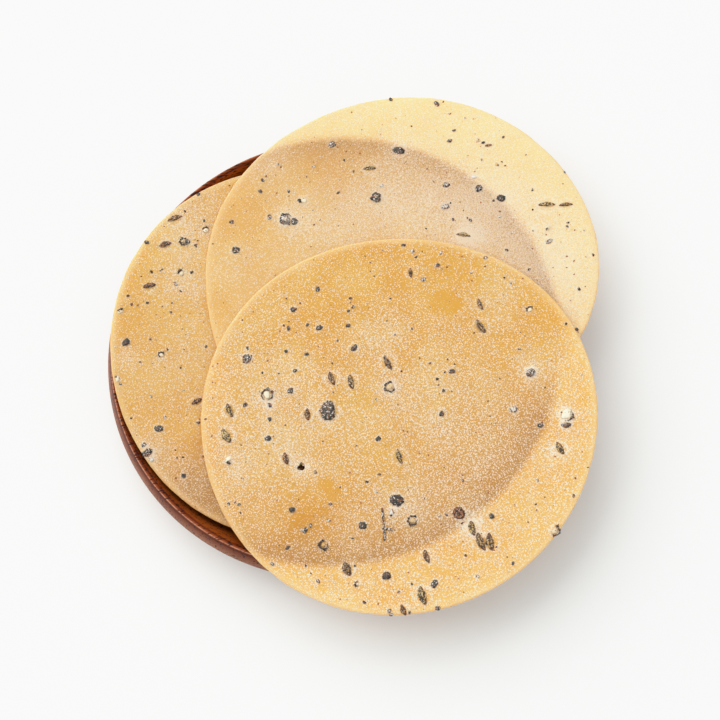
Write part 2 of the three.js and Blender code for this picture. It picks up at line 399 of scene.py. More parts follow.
def dish_profile():
    """Pairs of radius and height, from the foot's middle to the floor's middle."""
    lip_inner = LIP_RADIUS - LIP_INWARD
    inner_top = DISH_HEIGHT - LIP_INNER_DROP
    wall_radius = lip_inner - (inner_top - WALL_FOOT_HEIGHT) * WALL_LEAN
    corner_radius = wall_radius - (WALL_FOOT_HEIGHT - FLOOR_HEIGHT) * WALL_LEAN
    foot = (FOOT_RADIUS, 0)
    bulge = (BULGE_RADIUS, BULGE_HEIGHT)
    lip_start = (LIP_RADIUS + LIP_OUTWARD, DISH_HEIGHT - LIP_OUTER_DROP)
    crest = (LIP_RADIUS, DISH_HEIGHT)
    lip_end = (lip_inner, inner_top)
    wall_foot = (wall_radius, WALL_FOOT_HEIGHT)
    floor_edge = (FLOOR_RADIUS, FLOOR_HEIGHT)
    profile = bend((0, 0), foot, steps=FLAT_STEPS)
    profile += bend(foot, (FOOT_RADIUS + FOOT_ROLL, 0), (BULGE_RADIUS, BULGE_HEIGHT - BULGE_RISE), bulge)
    profile += bend(bulge, (BULGE_RADIUS, BULGE_HEIGHT + BULGE_ROUND), lip_start)
    profile += bend(lip_start, (lip_start[0] - LIP_OUTER_DROP / 2, DISH_HEIGHT), crest)
    profile += bend(crest, (lip_inner + LIP_INNER_DROP, DISH_HEIGHT), lip_end)
    profile += bend(lip_end, wall_foot, steps=FLAT_STEPS)
    profile += bend(wall_foot, (corner_radius, FLOOR_HEIGHT), floor_edge)
    profile += bend(floor_edge, (0, FLOOR_HEIGHT), steps=FLAT_STEPS)[:-1]
    return profile


# %% Turn the dish
def turned(profile, bottom, top):
    """The profile swept round the upright axis, closed at its two middle points."""
    points = []
    for radius, height in profile:
        for side in range(DISH_SIDES):
            azimuth = 2 * math.pi * side / DISH_SIDES
            points.append((radius * math.cos(azimuth), radius * math.sin(azimuth), height))
    faces = []
    last = (len(profile) - 1) * DISH_SIDES
    for side in range(DISH_SIDES):
        following = (side + 1) % DISH_SIDES
        faces.append((len(points), following, side))
        faces.append((len(points) + 1, last + side, last + following))
        for start in range(0, last, DISH_SIDES):
            outer = start + DISH_SIDES
            faces.append((start + side, start + following, outer + following, outer + side))
    points += [(0, 0, bottom), (0, 0, top)]
    return points, faces


def distance_from_crest(profile):
    """How far along the profile each of its points is from the lip's crest, inward counting up."""
    radius, height = np.array(profile).T
    along = np.concatenate([[0], np.cumsum(np.hypot(np.diff(radius), np.diff(height)))])
    return along - along[np.argmax(height)]


dish_outline = dish_profile()
dish_points, dish_faces = turned(dish_outline, 0, FLOOR_HEIGHT)
dish = mesh_piece("turned_dish", dish_points, dish_faces)
dish.data.set_sharp_from_angle(angle=SHARP_EDGE)
from_crest = distance_from_crest(dish_outline)
mark(dish, "from_crest", [*np.repeat(from_crest, DISH_SIDES), from_crest[0], from_crest[-1]])
print("profile of the dish:", round(from_crest[-1] - from_crest[0], 1), "mm long")

# %% [markdown]
# ## Lacquered wood
# The dish is a reddish brown hardwood under clear lacquer. Its open pores show as short dark
# dashes that all run along the grain, and broader bands of darker wood run the same way.
# A photo of wood could be wrapped round it, but then the pattern would follow the wrapping.
# Noise read in space, and squeezed along one direction, runs through the dish as real grain
# does: the turned surface cuts it, so the dashes change their length round the wall. The lip
# is cut across the fibres. It drinks more stain and shows more pores. Along its crest runs a
# painted highlight, a pale line less than half a millimetre wide, with a dark line on each side;
# the outer dark line is a painted dark reflection. Below the lip the outer wall grows paler in a
# painted reflection of the white table, and on one side the inner wall is painted lighter and more
# orange, as painted light. The distance from the crest, stored with each point, tells the
# finish where all this begins and ends.

# %% Grain and lines of the wood
GRAIN_TURN = math.radians(24)
GRAIN_STRETCH = (0.16, 1, 1)
PORE_STRETCH = (0.13, 1, 1)
BAND_WIDTH = 9
FIBRE_WIDTH = 0.8
PORE_WIDTH = 0.55
PORE_CROWDS = 6  # over how many millimetres the pores lie denser and sparser
PORE_LEVEL = (0.72, 0.78)
# The pale line along the lip's crest is a painted highlight.
PAINTED_HIGHLIGHT_LINE = (-0.12, 0.21)  # its middle, in mm inward from the crest, and half its width
# Two dark lines, one on each side of the painted highlight; the outer one is a painted dark reflection.
DARK_LINES_BESIDE_HIGHLIGHT = [(-0.95, 0.85), (0.9, 0.65)]
LIP_BAND = (0.9, 1.3)
OUTSIDE = (-0.4, -1)  # from where to where the outer wall's colour comes in, in mm from the crest
# The paler band on the outer wall below the lip is a painted reflection of the white table.
PAINTED_TABLE_REFLECTION = (-1.5, -7)
INSIDE = (0.2, 0.9)
PAINTED_LIGHT_SIDE = 125  # towards here the inner wall gets painted light, lighter and more orange
PAINTED_LIGHT_SIDE_WIDTH = 28

# %% Colours of the wood
WOOD_DARK = srgb(90, 38, 10)
WOOD_LIGHT = srgb(146, 74, 24)
WOOD_FIBRE = srgb(168, 86, 32)
WOOD_OUTSIDE = srgb(100, 36, 8)
WOOD_REFLECTED_TABLE = srgb(162, 112, 86)
WOOD_PAINTED_LIGHT = srgb(196, 88, 10)
WOOD_LIP = srgb(130, 44, 8)
WOOD_DARK_LINE = srgb(62, 16, 4)
WOOD_PAINTED_HIGHLIGHT = srgb(198, 152, 130)
WOOD_PORE = srgb(30, 12, 12)


# %% Lacquered wood
def lacquered_wood():
    finish = Finish("lacquered_wood", Roughness=0.5, Specular_IOR_Level=0.03, Coat_Weight=0.2,
                    Coat_Roughness=0.12)
    away = finish.mark("from_crest")
    along = finish.stretched(GRAIN_STRETCH, (0, 0, GRAIN_TURN))
    pores_along = finish.stretched(PORE_STRETCH, (0, 0, GRAIN_TURN))
    band = finish.grain(BAND_WIDTH, along, detail=4, twist=0.6)
    fibre = finish.grain(FIBRE_WIDTH, along, detail=3)
    pore = finish.grain(PORE_WIDTH, pores_along, detail=1)
    crowd = finish.grain(PORE_CROWDS, along)
    on_lip = finish.near(away, *LIP_BAND)
    open_pore = finish.between(finish.sum((pore, 1), (crowd, 0.25), (on_lip, 0.09)), *PORE_LEVEL)
    wood = finish.blend(finish.between(band, 0.3, 0.7), WOOD_DARK, WOOD_LIGHT)
    wood = finish.blend(finish.between(fibre, 0.35, 0.75, 0, 0.45), wood, WOOD_FIBRE)
    wood = finish.blend(finish.between(away, *OUTSIDE, 0, 0.85), wood, WOOD_OUTSIDE)
    banded = finish.between(band, 0.35, 0.65, 0.7, 1)
    # painted reflection of the white table on the outer wall, following the wood's bands
    painted_reflection = finish.product(finish.between(away, *PAINTED_TABLE_REFLECTION), banded)
    wood = finish.blend(painted_reflection, wood, WOOD_REFLECTED_TABLE)
    # painted light: one side of the inner wall is drawn lighter and more orange
    painted_light = finish.product(finish.mark("painted_light"), finish.between(away, *INSIDE))
    wood = finish.blend(finish.product(painted_light, 0.6), wood, WOOD_PAINTED_LIGHT)
    wood = finish.blend(finish.product(on_lip, 0.5), wood, WOOD_LIP)
    # dark lines beside the painted highlight, the outer one a painted dark reflection
    for line in DARK_LINES_BESIDE_HIGHLIGHT:
        wood = finish.blend(finish.product(finish.near(away, *line), 0.8), wood, WOOD_DARK_LINE)
    # painted highlight: a pale line along the crest, broken up by the fibres
    rubbed = finish.product(finish.near(away, *PAINTED_HIGHLIGHT_LINE), finish.between(fibre, 0.3, 0.6, 0.3, 0.9))
    wood = finish.blend(rubbed, wood, WOOD_PAINTED_HIGHLIGHT)
    wood = finish.blend(finish.product(open_pore, 0.85), wood, WOOD_PORE)
    relief = finish.sum((open_pore, -1), (fibre, 0.35))
    return finish.show(wood, height=relief, depth=0.12)


dish_x, dish_y, _ = np.array(dish_points).T
# how near each point lies to the side with painted light
off_painted_light_side = (np.degrees(np.arctan2(dish_y, dish_x)) - PAINTED_LIGHT_SIDE) / PAINTED_LIGHT_SIDE_WIDTH
mark(dish, "painted_light", np.exp(-off_painted_light_side ** 2))
hand_over(dish, lacquered_wood(), "dish_wood", "dish")

# %% [markdown]
# ## The shape of a rolled papadum
# Each sheet is nearly a disc, 0.8 mm thick, with a slightly lobed outline. It is not quite
# flat either: it rolls a little round its rim and bends down or up past one line. These few
# numbers per sheet are the ones of the plain solids, so each fine sheet lies where its solid
# lies. All functions take arrays of places, which makes them quick enough for dense meshes.

# %% The three sheets
Sheet = namedtuple("Sheet", "name centre tilt rises_to radius lobes waves bend seed")
Bend = namedtuple("Bend", "towards start rise")

SHEET_THICKNESS = 0.8
HALF_SHEET = SHEET_THICKNESS / 2

BOTTOM = Sheet(
    name="papadum_bottom", centre=(-9.1, 3.5, 15.45), tilt=5.65, rises_to=149, radius=62.9,
    lobes=((2, 0.6, -17), (3, 1.15, 1)), waves=((2, 0.35, 60),),
    bend=Bend(towards=235, start=30, rise=0.5), seed=11,
)
MIDDLE = Sheet(
    name="papadum_middle", centre=(24.4, 17.2, 20.8), tilt=0.75, rises_to=30, radius=63.6,
    lobes=((2, 2.4, 44), (3, 1.9, 0), (4, 1.1, -28)), waves=((3, 0.25, 20),),
    bend=Bend(towards=52, start=28, rise=-1.6), seed=23,
)
TOP = Sheet(
    name="papadum_top", centre=(13.4, -29.3, 21.65), tilt=0.65, rises_to=13, radius=61.6,
    lobes=((2, 0.5, -10), (3, 0.65, 11), (4, 0.2, 35)), waves=((2, 0.25, 100),),
    bend=Bend(towards=5, start=30, rise=1.3), seed=37,
)
SHEETS = [BOTTOM, MIDDLE, TOP]


def outline_radius(sheet, azimuth):
    radius = sheet.radius + 0 * azimuth
    for count, height, towards in sheet.lobes:
        radius = radius + height * np.cos(count * (azimuth - math.radians(towards)))
    return radius


def lift(sheet, x, y):
    """Height of the sheet's middle surface over its own flat plane."""
    share = np.hypot(x, y) / sheet.radius
    azimuth = np.arctan2(y, x)
    towards = math.radians(sheet.bend.towards)
    past = x * math.cos(towards) + y * math.sin(towards) - sheet.bend.start
    height = sheet.bend.rise * np.maximum(0, past / (sheet.radius - sheet.bend.start)) ** 2
    for count, swell, peak in sheet.waves:
        height = height + swell * share ** 2 * np.cos(count * (azimuth - math.radians(peak)))
    return height


def tilt_of(sheet):
    towards = math.radians(sheet.rises_to)
    axis = Vector((math.sin(towards), -math.cos(towards), 0))
    return np.array(Matrix.Rotation(math.radians(sheet.tilt), 3, axis))


def to_stack(sheet, points):
    """From a sheet's own frame into the frame of the stack."""
    return np.asarray(points) @ tilt_of(sheet).T + np.array(sheet.centre)


def from_above(sheet, x, y):
    """Where places of a sheet lie in the stack, as x and y."""
    in_stack = to_stack(sheet, np.stack([x, y, lift(sheet, x, y)], axis=-1))
    return in_stack[..., 0], in_stack[..., 1]


def outside_of(sheet, x, y):
    """How far places lie outside a sheet's outline, negative inside, in the sheet's own frame."""
    return np.hypot(x, y) - outline_radius(sheet, np.arctan2(y, x))


def is_covered(sheet, x, y):
    """Which places of a sheet's upper face lie under a higher sheet."""
    stack_x, stack_y = from_above(sheet, x, y)
    covered = np.zeros(np.shape(x), bool)
    for other in SHEETS[SHEETS.index(sheet) + 1:]:
        covered |= outside_of(other, stack_x - other.centre[0], stack_y - other.centre[1]) < 0
    return covered


# %% [markdown]
# ## From a pixel to a place on a sheet
# The larger spices are copied one by one, so each is placed by the pixel where it shows. A
# ray from the camera through that pixel meets the sheet at one place. The sheet is bent, so
# the ray is first cut by a flat plane, and the plane is then raised to the height found.

# %% Find places under pixels
FOCAL_PIXELS = LENS / SENSOR * FRAME_PIXELS
RAY_STEPS = 6
PINHOLE_AT_PIXEL = (301, 467)


def place_under(sheet, across, down):
    """The x and y, in the sheet's own frame, that the camera sees at a pixel."""
    half = FRAME_PIXELS / 2
    ray = np.array(((across - half) * right + (half - down) * up) / FOCAL_PIXELS - back)
    tilt = tilt_of(sheet)
    normal = tilt[:, 2]
    origin = np.array(eye)
    local = np.zeros(3)
    for _ in range(RAY_STEPS):
        height = HALF_SHEET + lift(sheet, local[0], local[1])
        plane = np.array(sheet.centre) + normal * height
        reach = (plane - origin) @ normal / (ray @ normal)
        local = (origin + reach * ray - np.array(sheet.centre)) @ tilt
    return local[0], local[1]


def turn_under(sheet, across, down, turn):
    """An angle seen in the photo, anticlockwise from its right, as an angle on the sheet."""
    x, y = place_under(sheet, across, down)
    step_across = math.cos(math.radians(turn))
    step_down = -math.sin(math.radians(turn))
    next_x, next_y = place_under(sheet, across + step_across, down + step_down)
    return math.atan2(next_y - y, next_x - x)


print("the pinhole lies at", [round(float(v), 1) for v in place_under(TOP, *PINHOLE_AT_PIXEL)])

# %% [markdown]
# ## Where the spices lie
# The real sheets hold a few hundred bits of cracked pepper, seeds and stalk. Those larger
# than about a millimetre are listed here as they were read off the photo, sheet by sheet.
# Positions are pixels of the 720 pixel frame, across and down. Sizes are in millimetres and
# turns in degrees. A tone of 0 is the bare dark skin, and 1 is pale with flour.

# %% Pressed peppercorns
# across, down, length, width, turn, tone
PEPPER_AT_PIXELS = {
    TOP: [
        (328.6, 410.9, 6.9, 6.2, 80, 0.26), (396.5, 500.5, 4.7, 4.2, 10, 0.12),
        (247, 359, 3.9, 3.4, 30, 0.3), (566, 425.5, 3.6, 1.9, 12, 0.3),
        (513.5, 409.5, 2.6, 2, 20, 0.62), (530.8, 373, 3.2, 3, 40, 0.5),
        (386.4, 576.4, 3.5, 2.9, 45, 0.05), (434.8, 584.1, 2.8, 2.4, 80, 0.2),
        (362.8, 525.7, 2.8, 2.5, 0, 0.05), (441.7, 413.6, 2.5, 1.6, 80, 0.1),
        (392, 512.6, 2.9, 1.7, 75, 0.7), (292.2, 509.7, 2.1, 2, 0, 0.15),
        (268.2, 438.5, 2.3, 2.1, 0, 0.3), (437.4, 265.5, 2.1, 1.9, 60, 0.35),
        (378.6, 439, 2.1, 1.9, 30, 0.1), (354, 348, 2.9, 2.1, 60, 0.15),
        (319.1, 327.8, 2.6, 2, 0, 0.2), (293.4, 309.5, 2.4, 1.9, 20, 0.1),
        (290.8, 390.9, 2.3, 2, 50, 0.2), (269.7, 405.2, 1.9, 1.5, 120, 0.4),
        (540.5, 425.6, 2.1, 1.9, 0, 0.2),
    ],
    MIDDLE: [
        (285.5, 219.5, 3.9, 3.7, 0, 0.55), (294.5, 221.5, 2.6, 2.4, 60, 0.3), (235.5, 250, 3, 2.8, 0, 0.3),
        (399, 150.8, 4.6, 2.8, -12, 0.15), (376.3, 197.4, 3.1, 2.9, 0, 0.45), (446.6, 184.9, 2.9, 2, 0, 0.5),
        (478.5, 188.7, 3, 2.5, 40, 0.2), (500.9, 198.6, 3.1, 2.9, 0, 0), (445.5, 206.7, 2.9, 2.1, 20, 0.6),
        (331.6, 144.5, 3.1, 2.2, 10, 0.45), (474, 177, 2, 1.2, 0, 0.9), (549.5, 241.5, 3, 1.6, 20, 0.55),
    ],
    BOTTOM: [
        (158.8, 428.6, 3.1, 2.3, 0, 0.2), (148, 452.8, 3.9, 3, 10, 0.25),
        (143.6, 445.3, 1.9, 1.7, 40, 0.5), (125.7, 342.4, 2.8, 2.4, 20, 0),
        (183.7, 476.2, 2.1, 1.8, 30, 0.15), (188, 241.5, 1.8, 1.5, 120, 0.35),
    ],
}

# %% Broken peppercorn skins round a pale core
# across, down, size, first angle, how far round the skin runs, core size, core tone
RING_AT_PIXELS = {
    TOP: [
        (389.8, 387, 3.6, 60, 290, 2.5, 0.4), (267, 395, 4.1, 280, 330, 2.6, 0.9),
        (566.5, 414.5, 4.6, 258, 150, 3.6, 1), (554.8, 530.8, 3.4, 225, 220, 1.9, 0.6),
        (412.3, 520.4, 3.3, 30, 330, 1.8, 0.35), (323.5, 545, 3.2, 70, 310, 1.5, 0.1),
        (530, 310, 2.5, 20, 200, 1.7, 0.9), (228.4, 460, 2, 240, 60, 2, 1),
        (357.2, 584.1, 1.9, 60, 250, 1, 0.9), (532.3, 370.3, 1.8, 200, 60, 1.8, 0.95),
    ],
    MIDDLE: [
        (285.8, 219.3, 4.3, 20, 330, 1.4, 0.6), (376.3, 197.4, 3.2, 0, 340, 1.5, 0.7),
        (547.6, 227.7, 1.6, 200, 90, 1.7, 0.7), (496.5, 164.5, 1.8, 300, 50, 1.2, 0.2),
        (477, 140.6, 1.8, 20, 30, 1.5, 0.5), (303.7, 200.6, 2.8, 160, 60, 2, 0.85),
    ],
    BOTTOM: [
        (183.3, 241.4, 2.8, 30, 330, 1.2, 0.6), (205.9, 230.4, 2.6, 30, 140, 1.7, 0.95),
        (181.3, 273.4, 2.5, 60, 120, 1.9, 0.8), (117.4, 378.9, 1.8, 100, 60, 1.8, 1),
        (161.3, 354.8, 2.2, 0, 250, 1.5, 0.9), (120.6, 311.6, 1.9, 40, 130, 1.6, 0.8),
    ],
}

# %% Cumin seeds
# across, down, length, width, turn, tone
SEED_AT_PIXELS = {
    TOP: [
        (388, 362.6, 5.2, 1.8, 118, 0.3), (332, 378.4, 4.7, 1.7, 110, 0.15),
        (351.4, 381.8, 4.8, 1.9, 102, 0.5), (307.8, 414.4, 3.9, 1.7, 95, 0.2),
        (229.9, 410.4, 4.7, 2, 112, 0.8), (226.5, 435.7, 5.3, 2.1, 122, 0.95),
        (286.1, 458.7, 3.9, 1.9, 105, 0.1), (399.8, 456.5, 5, 1.8, 108, 0.75),
        (480.3, 304.2, 3.8, 1.5, 112, 0.3), (481, 326.4, 5.1, 2.2, 124, 0.5),
        (560.3, 448.2, 4.5, 1.9, 120, 0.6), (472.6, 528.3, 4.7, 2.1, 104, 0.85),
        (481.3, 541.7, 5.9, 2.5, 113, 0.55), (490.6, 541.7, 5.6, 2.3, 101, 0.5),
        (426.9, 556.4, 4.3, 1.7, 110, 0.2), (347.3, 569, 4.6, 2.7, 113, 0.4),
        (422.8, 595.5, 5.8, 2.5, 107, 0.85), (403.6, 610, 3.6, 1.7, 113, 0.15),
        (459.3, 513, 4, 3.7, 125, 0), (410.7, 272.9, 3.3, 1.5, 97, 0.25),
    ],
    MIDDLE: [
        (546.8, 204.9, 5.4, 1.5, 1, 0.7), (566, 205, 4.4, 1.3, 5, 0.35), (463.4, 235.4, 4.6, 1.3, -8, 0.7),
        (369.7, 168.7, 4.3, 1.2, 3, 0.95), (488.5, 145.7, 2.4, 0.9, 10, 0.1),
    ],
    BOTTOM: [
        (174.9, 218.6, 4.9, 1.6, 18, 0.2), (165.2, 244.7, 4.2, 1.8, 16, 0.15),
        (149.5, 286, 4.3, 1.8, 12, 0.2), (196.8, 401.6, 3.6, 1.7, 28, 0.15),
    ],
}

# %% Small bits of cracked pepper
# across, down, size, tone
BIT_AT_PIXELS = {
    TOP: [
        (317.6, 289.2, 1.8, 0.2), (350.6, 298.2, 1.2, 0.1), (353.1, 307, 1.3, 0.3), (348.4, 311.2, 1.1, 0.1),
        (288.6, 328.5, 1.6, 0.2), (284, 326, 1.1, 0.1), (307.4, 325.2, 1.2, 0.1), (348.1, 325.6, 1.5, 0.2),
        (247.6, 348.1, 1.3, 0.3), (286.1, 351, 1.3, 0.1), (306.6, 354.2, 1.5, 0.2), (294.9, 370.8, 1.6, 0.1),
        (244.7, 405.1, 1.6, 0.2), (269.7, 419.2, 1.5, 0.1), (403.5, 245.3, 1.4, 0.5), (412.4, 251, 1.4, 0.5),
        (416, 257.2, 1, 0), (440.8, 252.8, 1.3, 0.7), (442, 269.5, 1, 0.5), (422.9, 279.7, 1.8, 0.45),
        (485.6, 257.9, 1.4, 0.5), (471, 273, 1.1, 0.5), (504.2, 277.6, 0.8, 0), (510.6, 284, 1, 0.5),
        (566, 323.7, 1.2, 0.1), (576.7, 329.5, 1.2, 0.1), (519.3, 349.4, 1.1, 0.3), (451.9, 371.4, 2, 0.2),
        (443.5, 390.7, 1.2, 0.1), (395, 335, 0.9, 0.4), (437.4, 379, 1.1, 0), (429.9, 363.4, 0.9, 0),
        (305.2, 530.3, 1.7, 0.3), (310.4, 525.6, 1.3, 0.6), (301.4, 530, 1, 0.6), (288, 547.7, 1.6, 0.1),
        (272.4, 564.3, 1.3, 0.45), (318.1, 581.2, 1.4, 0.5), (364.3, 602.4, 1.2, 0),
        (437.4, 608.4, 1.7, 0.2), (491.7, 516.3, 1.8, 0.1), (513.2, 563.3, 1.3, 0.3),
        (379.2, 474.5, 1.1, 0.2), (367.1, 481.9, 1.1, 0.2), (328.6, 520.3, 1.3, 0.6),
        (330.5, 504, 1.2, 0.45), (573.6, 495.7, 1.2, 0.2), (315.4, 472.2, 1.2, 0.5),
        (462, 523.3, 0.9, 0), (446.7, 515, 1, 0.3), (440, 516, 0.9, 0.5), (465.5, 555.5, 1, 0.2),
        (477.6, 576.3, 1.2, 0.6), (352.5, 538.7, 0.9, 0.1), (354.7, 566, 0.9, 0.2), (398.8, 591.9, 1, 0.2),
        (411.9, 584.4, 1, 0.5), (389.4, 611.2, 1.5, 0.5), (391.2, 614.8, 1.3, 0.5), (409.6, 612.3, 1.2, 0.3),
        (376, 399.3, 0.9, 0.5), (537.7, 480.4, 1, 0.5), (205.4, 419.2, 0.8, 0), (229.5, 463.6, 1, 0.1),
        (211.5, 436, 0.8, 0.4), (228.6, 503.6, 1.2, 0.4), (239.3, 504.4, 1.2, 0.2), (235, 502.5, 0.9, 0.5),
        (240.5, 512.8, 0.8, 0.3), (305.8, 565.8, 0.8, 0.3), (311, 573.5, 0.7, 0.3), (376.5, 492, 1.1, 0.6),
        (462.8, 480.5, 1, 0.5), (412, 329, 0.8, 0.1), (337.5, 340.6, 0.9, 0.2), (262.4, 372.8, 0.9, 0.2),
    ],
    MIDDLE: [
        (231.8, 222, 1.7, 0.2), (269.2, 217.2, 1.8, 0.35), (260.4, 191.2, 1.5, 0.1),
        (262.6, 180.2, 1.4, 0.1), (288.8, 191.4, 1.1, 0.1), (314, 166.5, 1.4, 0.6),
        (338.2, 192.7, 1.2, 0.2), (298.8, 200.8, 1.1, 0.4), (470.3, 220.3, 1.3, 0.1),
        (467.6, 218, 0.8, 0.1), (453.2, 219.6, 1.1, 0.1), (454.2, 130.6, 1.3, 0.45),
        (449.6, 140.9, 1.8, 0.3), (483.3, 142.8, 1.3, 0), (503.2, 137.2, 1, 0.1), (436.6, 103.8, 2, 0.3),
        (390.7, 99.5, 1.3, 0.3), (567.8, 222.7, 1, 0.2), (567.2, 226.5, 1, 0.4), (579, 289, 1.2, 0.1),
        (593.3, 255, 1.1, 0.2), (529.2, 269.5, 1, 0.1), (506.7, 250.3, 1.2, 0.2), (564.6, 172.4, 1, 0.45),
        (493.5, 200.6, 0.9, 0.2), (499.5, 216.6, 1, 0.8), (382, 185.6, 1.4, 0.7), (450.6, 203, 0.7, 0.2),
        (502, 162, 0.7, 0.2), (505, 165.8, 0.8, 0.3), (481.8, 160, 0.9, 0.3), (465.2, 118.2, 0.8, 0.5),
        (449.6, 113.8, 0.9, 0.5), (532.6, 190, 1, 0.5), (353.5, 171.5, 0.9, 0.3), (278, 164.6, 0.9, 0.5),
        (584, 230.8, 0.7, 0.2), (533, 231, 0.6, 0.1), (344, 160, 0.9, 0.2), (320, 220, 0.8, 0.3),
    ],
    BOTTOM: [
        (146.8, 242.4, 1.6, 0.05), (191.6, 272.3, 1.3, 0.2), (175.5, 284, 1.6, 0.5),
        (180.6, 291.2, 0.9, 0.2), (151.6, 271.8, 1.1, 0), (162, 269.5, 0.9, 0.45),
        (127.9, 295.8, 1.1, 0), (131.5, 304.4, 1, 0.2),
        (147.4, 302.8, 1, 0.2), (198.5, 194.4, 1.3, 0.2), (185.2, 211.3, 0.9, 0), (204.2, 220.5, 1, 0),
        (195.8, 245, 1.1, 0), (171, 312.3, 0.9, 0), (150.5, 339.1, 1, 0.3), (206.1, 346.5, 1.1, 0.4),
        (151, 396.6, 1.1, 0.6), (175.3, 450.3, 0.7, 0), (177, 457.8, 0.9, 0.4), (183.1, 457.6, 0.8, 0.1),
        (165.1, 417.5, 1.1, 0.5), (131.3, 418, 0.9, 0.5), (198.2, 423, 1.3, 0.45), (151.5, 459.6, 1.9, 0.8),
        (120.2, 384, 1, 0.4), (183.6, 390.4, 0.6, 0.1), (168, 350, 0.8, 0.3), (140, 362, 0.8, 0.2),
    ],
}
listed = sum(len(places) for table in (PEPPER_AT_PIXELS, RING_AT_PIXELS, SEED_AT_PIXELS, BIT_AT_PIXELS)
             for places in table.values())
print("listed spices:", listed)

# %% [markdown]
# ## Where the flour lies
# The sheets are dusted with flour so that they don't stick. It lies in soft clouds, gathers
# round the spices, and is rubbed off in a few spots, where the dough shows deep gold. Painting
# by hand would do, but a rule is easier to change: an even share, plus a few soft round clouds
# of flour that add or take away, plus a small halo round each listed spice.

# %% Clouds of flour
# across, down, radius in mm, amount
CLOUD_AT_PIXELS = {
    TOP: [
        (330, 290, 22, -0.12), (450, 260, 20, -0.14), (545, 300, 12, -0.15), (300, 515, 9, -0.22),
        (385, 455, 9, -0.12), (370, 400, 5, -0.12), (490, 470, 14, 0.03), (406, 508, 6, 0.22),
        (470, 522, 5, 0.3), (267, 400, 4, 0.3), (332, 416, 4, 0.12), (290, 390, 12, 0.08),
        (425, 440, 24, 0.08), (232, 462, 6, 0.2), (567, 416, 3, 0.4), (555, 450, 4, 0.2),
        (280, 440, 9, 0.12), (384, 335, 8, 0.14), (500, 300, 7, 0.15), (530, 372, 4, 0.3),
        (390, 388, 4, 0.3), (302, 467, 3, 0.4),
    ],
    MIDDLE: [
        (380, 196, 13, 0.24), (450, 212, 15, 0.28), (505, 202, 12, 0.24), (555, 275, 18, 0.3),
        (520, 245, 16, 0.2), (290, 220, 7, 0.35), (330, 225, 14, 0.16), (420, 200, 20, 0.12),
        (245, 215, 12, -0.2), (266, 165, 7, 0.25), (315, 165, 10, -0.12), (232, 255, 6, 0.15),
        (215, 310, 8, -0.2), (400, 150, 5, 0.25), (500, 135, 22, 0.05), (350, 150, 10, -0.1),
        (470, 235, 4, 0.4),
    ],
    BOTTOM: [
        (185, 232, 9, 0.2), (180, 280, 10, 0.25), (150, 330, 14, -0.06), (200, 345, 8, 0.1),
        (165, 400, 12, 0.05), (150, 455, 6, 0.35), (185, 480, 10, 0.15), (200, 210, 8, 0.1),
        (125, 355, 5, 0.2), (170, 355, 6, 0.15), (140, 260, 9, -0.1), (180, 440, 8, -0.05),
    ],
}
EVEN_FLOUR = {TOP: 0.55, MIDDLE: 0.52, BOTTOM: 0.45}
THICKEST_FLOUR = 1.3
HALO_WIDTH = 0.45
HALO_AMOUNT = 0.28

# %% Spots rubbed bare
# across, down, radius in mm, how sharp the spot's edge is
RUBBED_AT_PIXELS = {
    TOP: [
        (443, 298, 2.9, 4), (449, 297, 2.2, 6), (455, 303.5, 2.3, 6), (450, 307, 2.6, 3),
        (438, 303, 2.6, 2), (328, 485, 2.4, 1.5), (332, 494, 2.2, 1.5), (302, 521, 2.2, 1.5),
    ],
    MIDDLE: [],
    BOTTOM: [],
}


def bare_at(sheet, x, y):
    """How far the flour is rubbed off, from 0 to 1."""
    bare = 0 * x
    for across, down, radius, sharpness in RUBBED_AT_PIXELS[sheet]:
        spot_x, spot_y = place_under(sheet, across, down)
        share = np.hypot(x - spot_x, y - spot_y) / radius
        bare = np.maximum(bare, np.exp(-share ** (2 * sharpness)))
    return bare


def halos_of(sheet):
    """Place, size and amount of the flour round each listed spice."""
    halos = []
    for table in (PEPPER_AT_PIXELS, RING_AT_PIXELS, SEED_AT_PIXELS):
        for across, down, size, *_ in table[sheet]:
            halos.append((*place_under(sheet, across, down), size / 2, HALO_AMOUNT))
    for across, down, size, _ in BIT_AT_PIXELS[sheet]:
        halos.append((*place_under(sheet, across, down), size / 2, HALO_AMOUNT / 2))
    return halos


def clouds_of(sheet):
    clouds = []
    for across, down, radius, amount in CLOUD_AT_PIXELS[sheet]:
        clouds.append((*place_under(sheet, across, down), radius, amount))
    return clouds


SPICE_HALOS = {sheet: halos_of(sheet) for sheet in SHEETS}
FLOUR_CLOUDS = {sheet: clouds_of(sheet) for sheet in SHEETS}


def flour_at(sheet, x, y):
    """How thick the flour lies, from 0 to about 1."""
    amount = EVEN_FLOUR[sheet] + 0 * x
    for cloud_x, cloud_y, radius, height in FLOUR_CLOUDS[sheet]:
        share = np.hypot(x - cloud_x, y - cloud_y) / radius
        amount = amount + height * np.exp(-share ** 2)
    for halo_x, halo_y, reach, height in SPICE_HALOS[sheet]:
        outside = np.abs(np.hypot(x - halo_x, y - halo_y) - reach) / HALO_WIDTH
        amount = amount + height * np.exp(-outside ** 2)
    return np.clip(amount, 0, THICKEST_FLOUR) * (1 - bare_at(sheet, x, y))


for sheet in SHEETS:
    print(sheet.name, "has", len(SPICE_HALOS[sheet]), "halos and", len(FLOUR_CLOUDS[sheet]), "clouds")


# %% [markdown]
# ## Where wood lies behind the dough
# A sheet lets light through. Over the white table most of it comes back, but dark wood close
# behind swallows it, so the dough looks greyer there. A render follows each ray for a few
# bounces only and shows too little of this, so the finish adds painted shade: each point stores
# how far it is shaded. That is most just inside the dish's lip, and less where a lower sheet
# covers the wood. Each point also stores how far it is open to the table, for a painted glow
# from below. The lowest sheet lies in the dish with its whole face, so its shaded places are
# listed by their pixels.

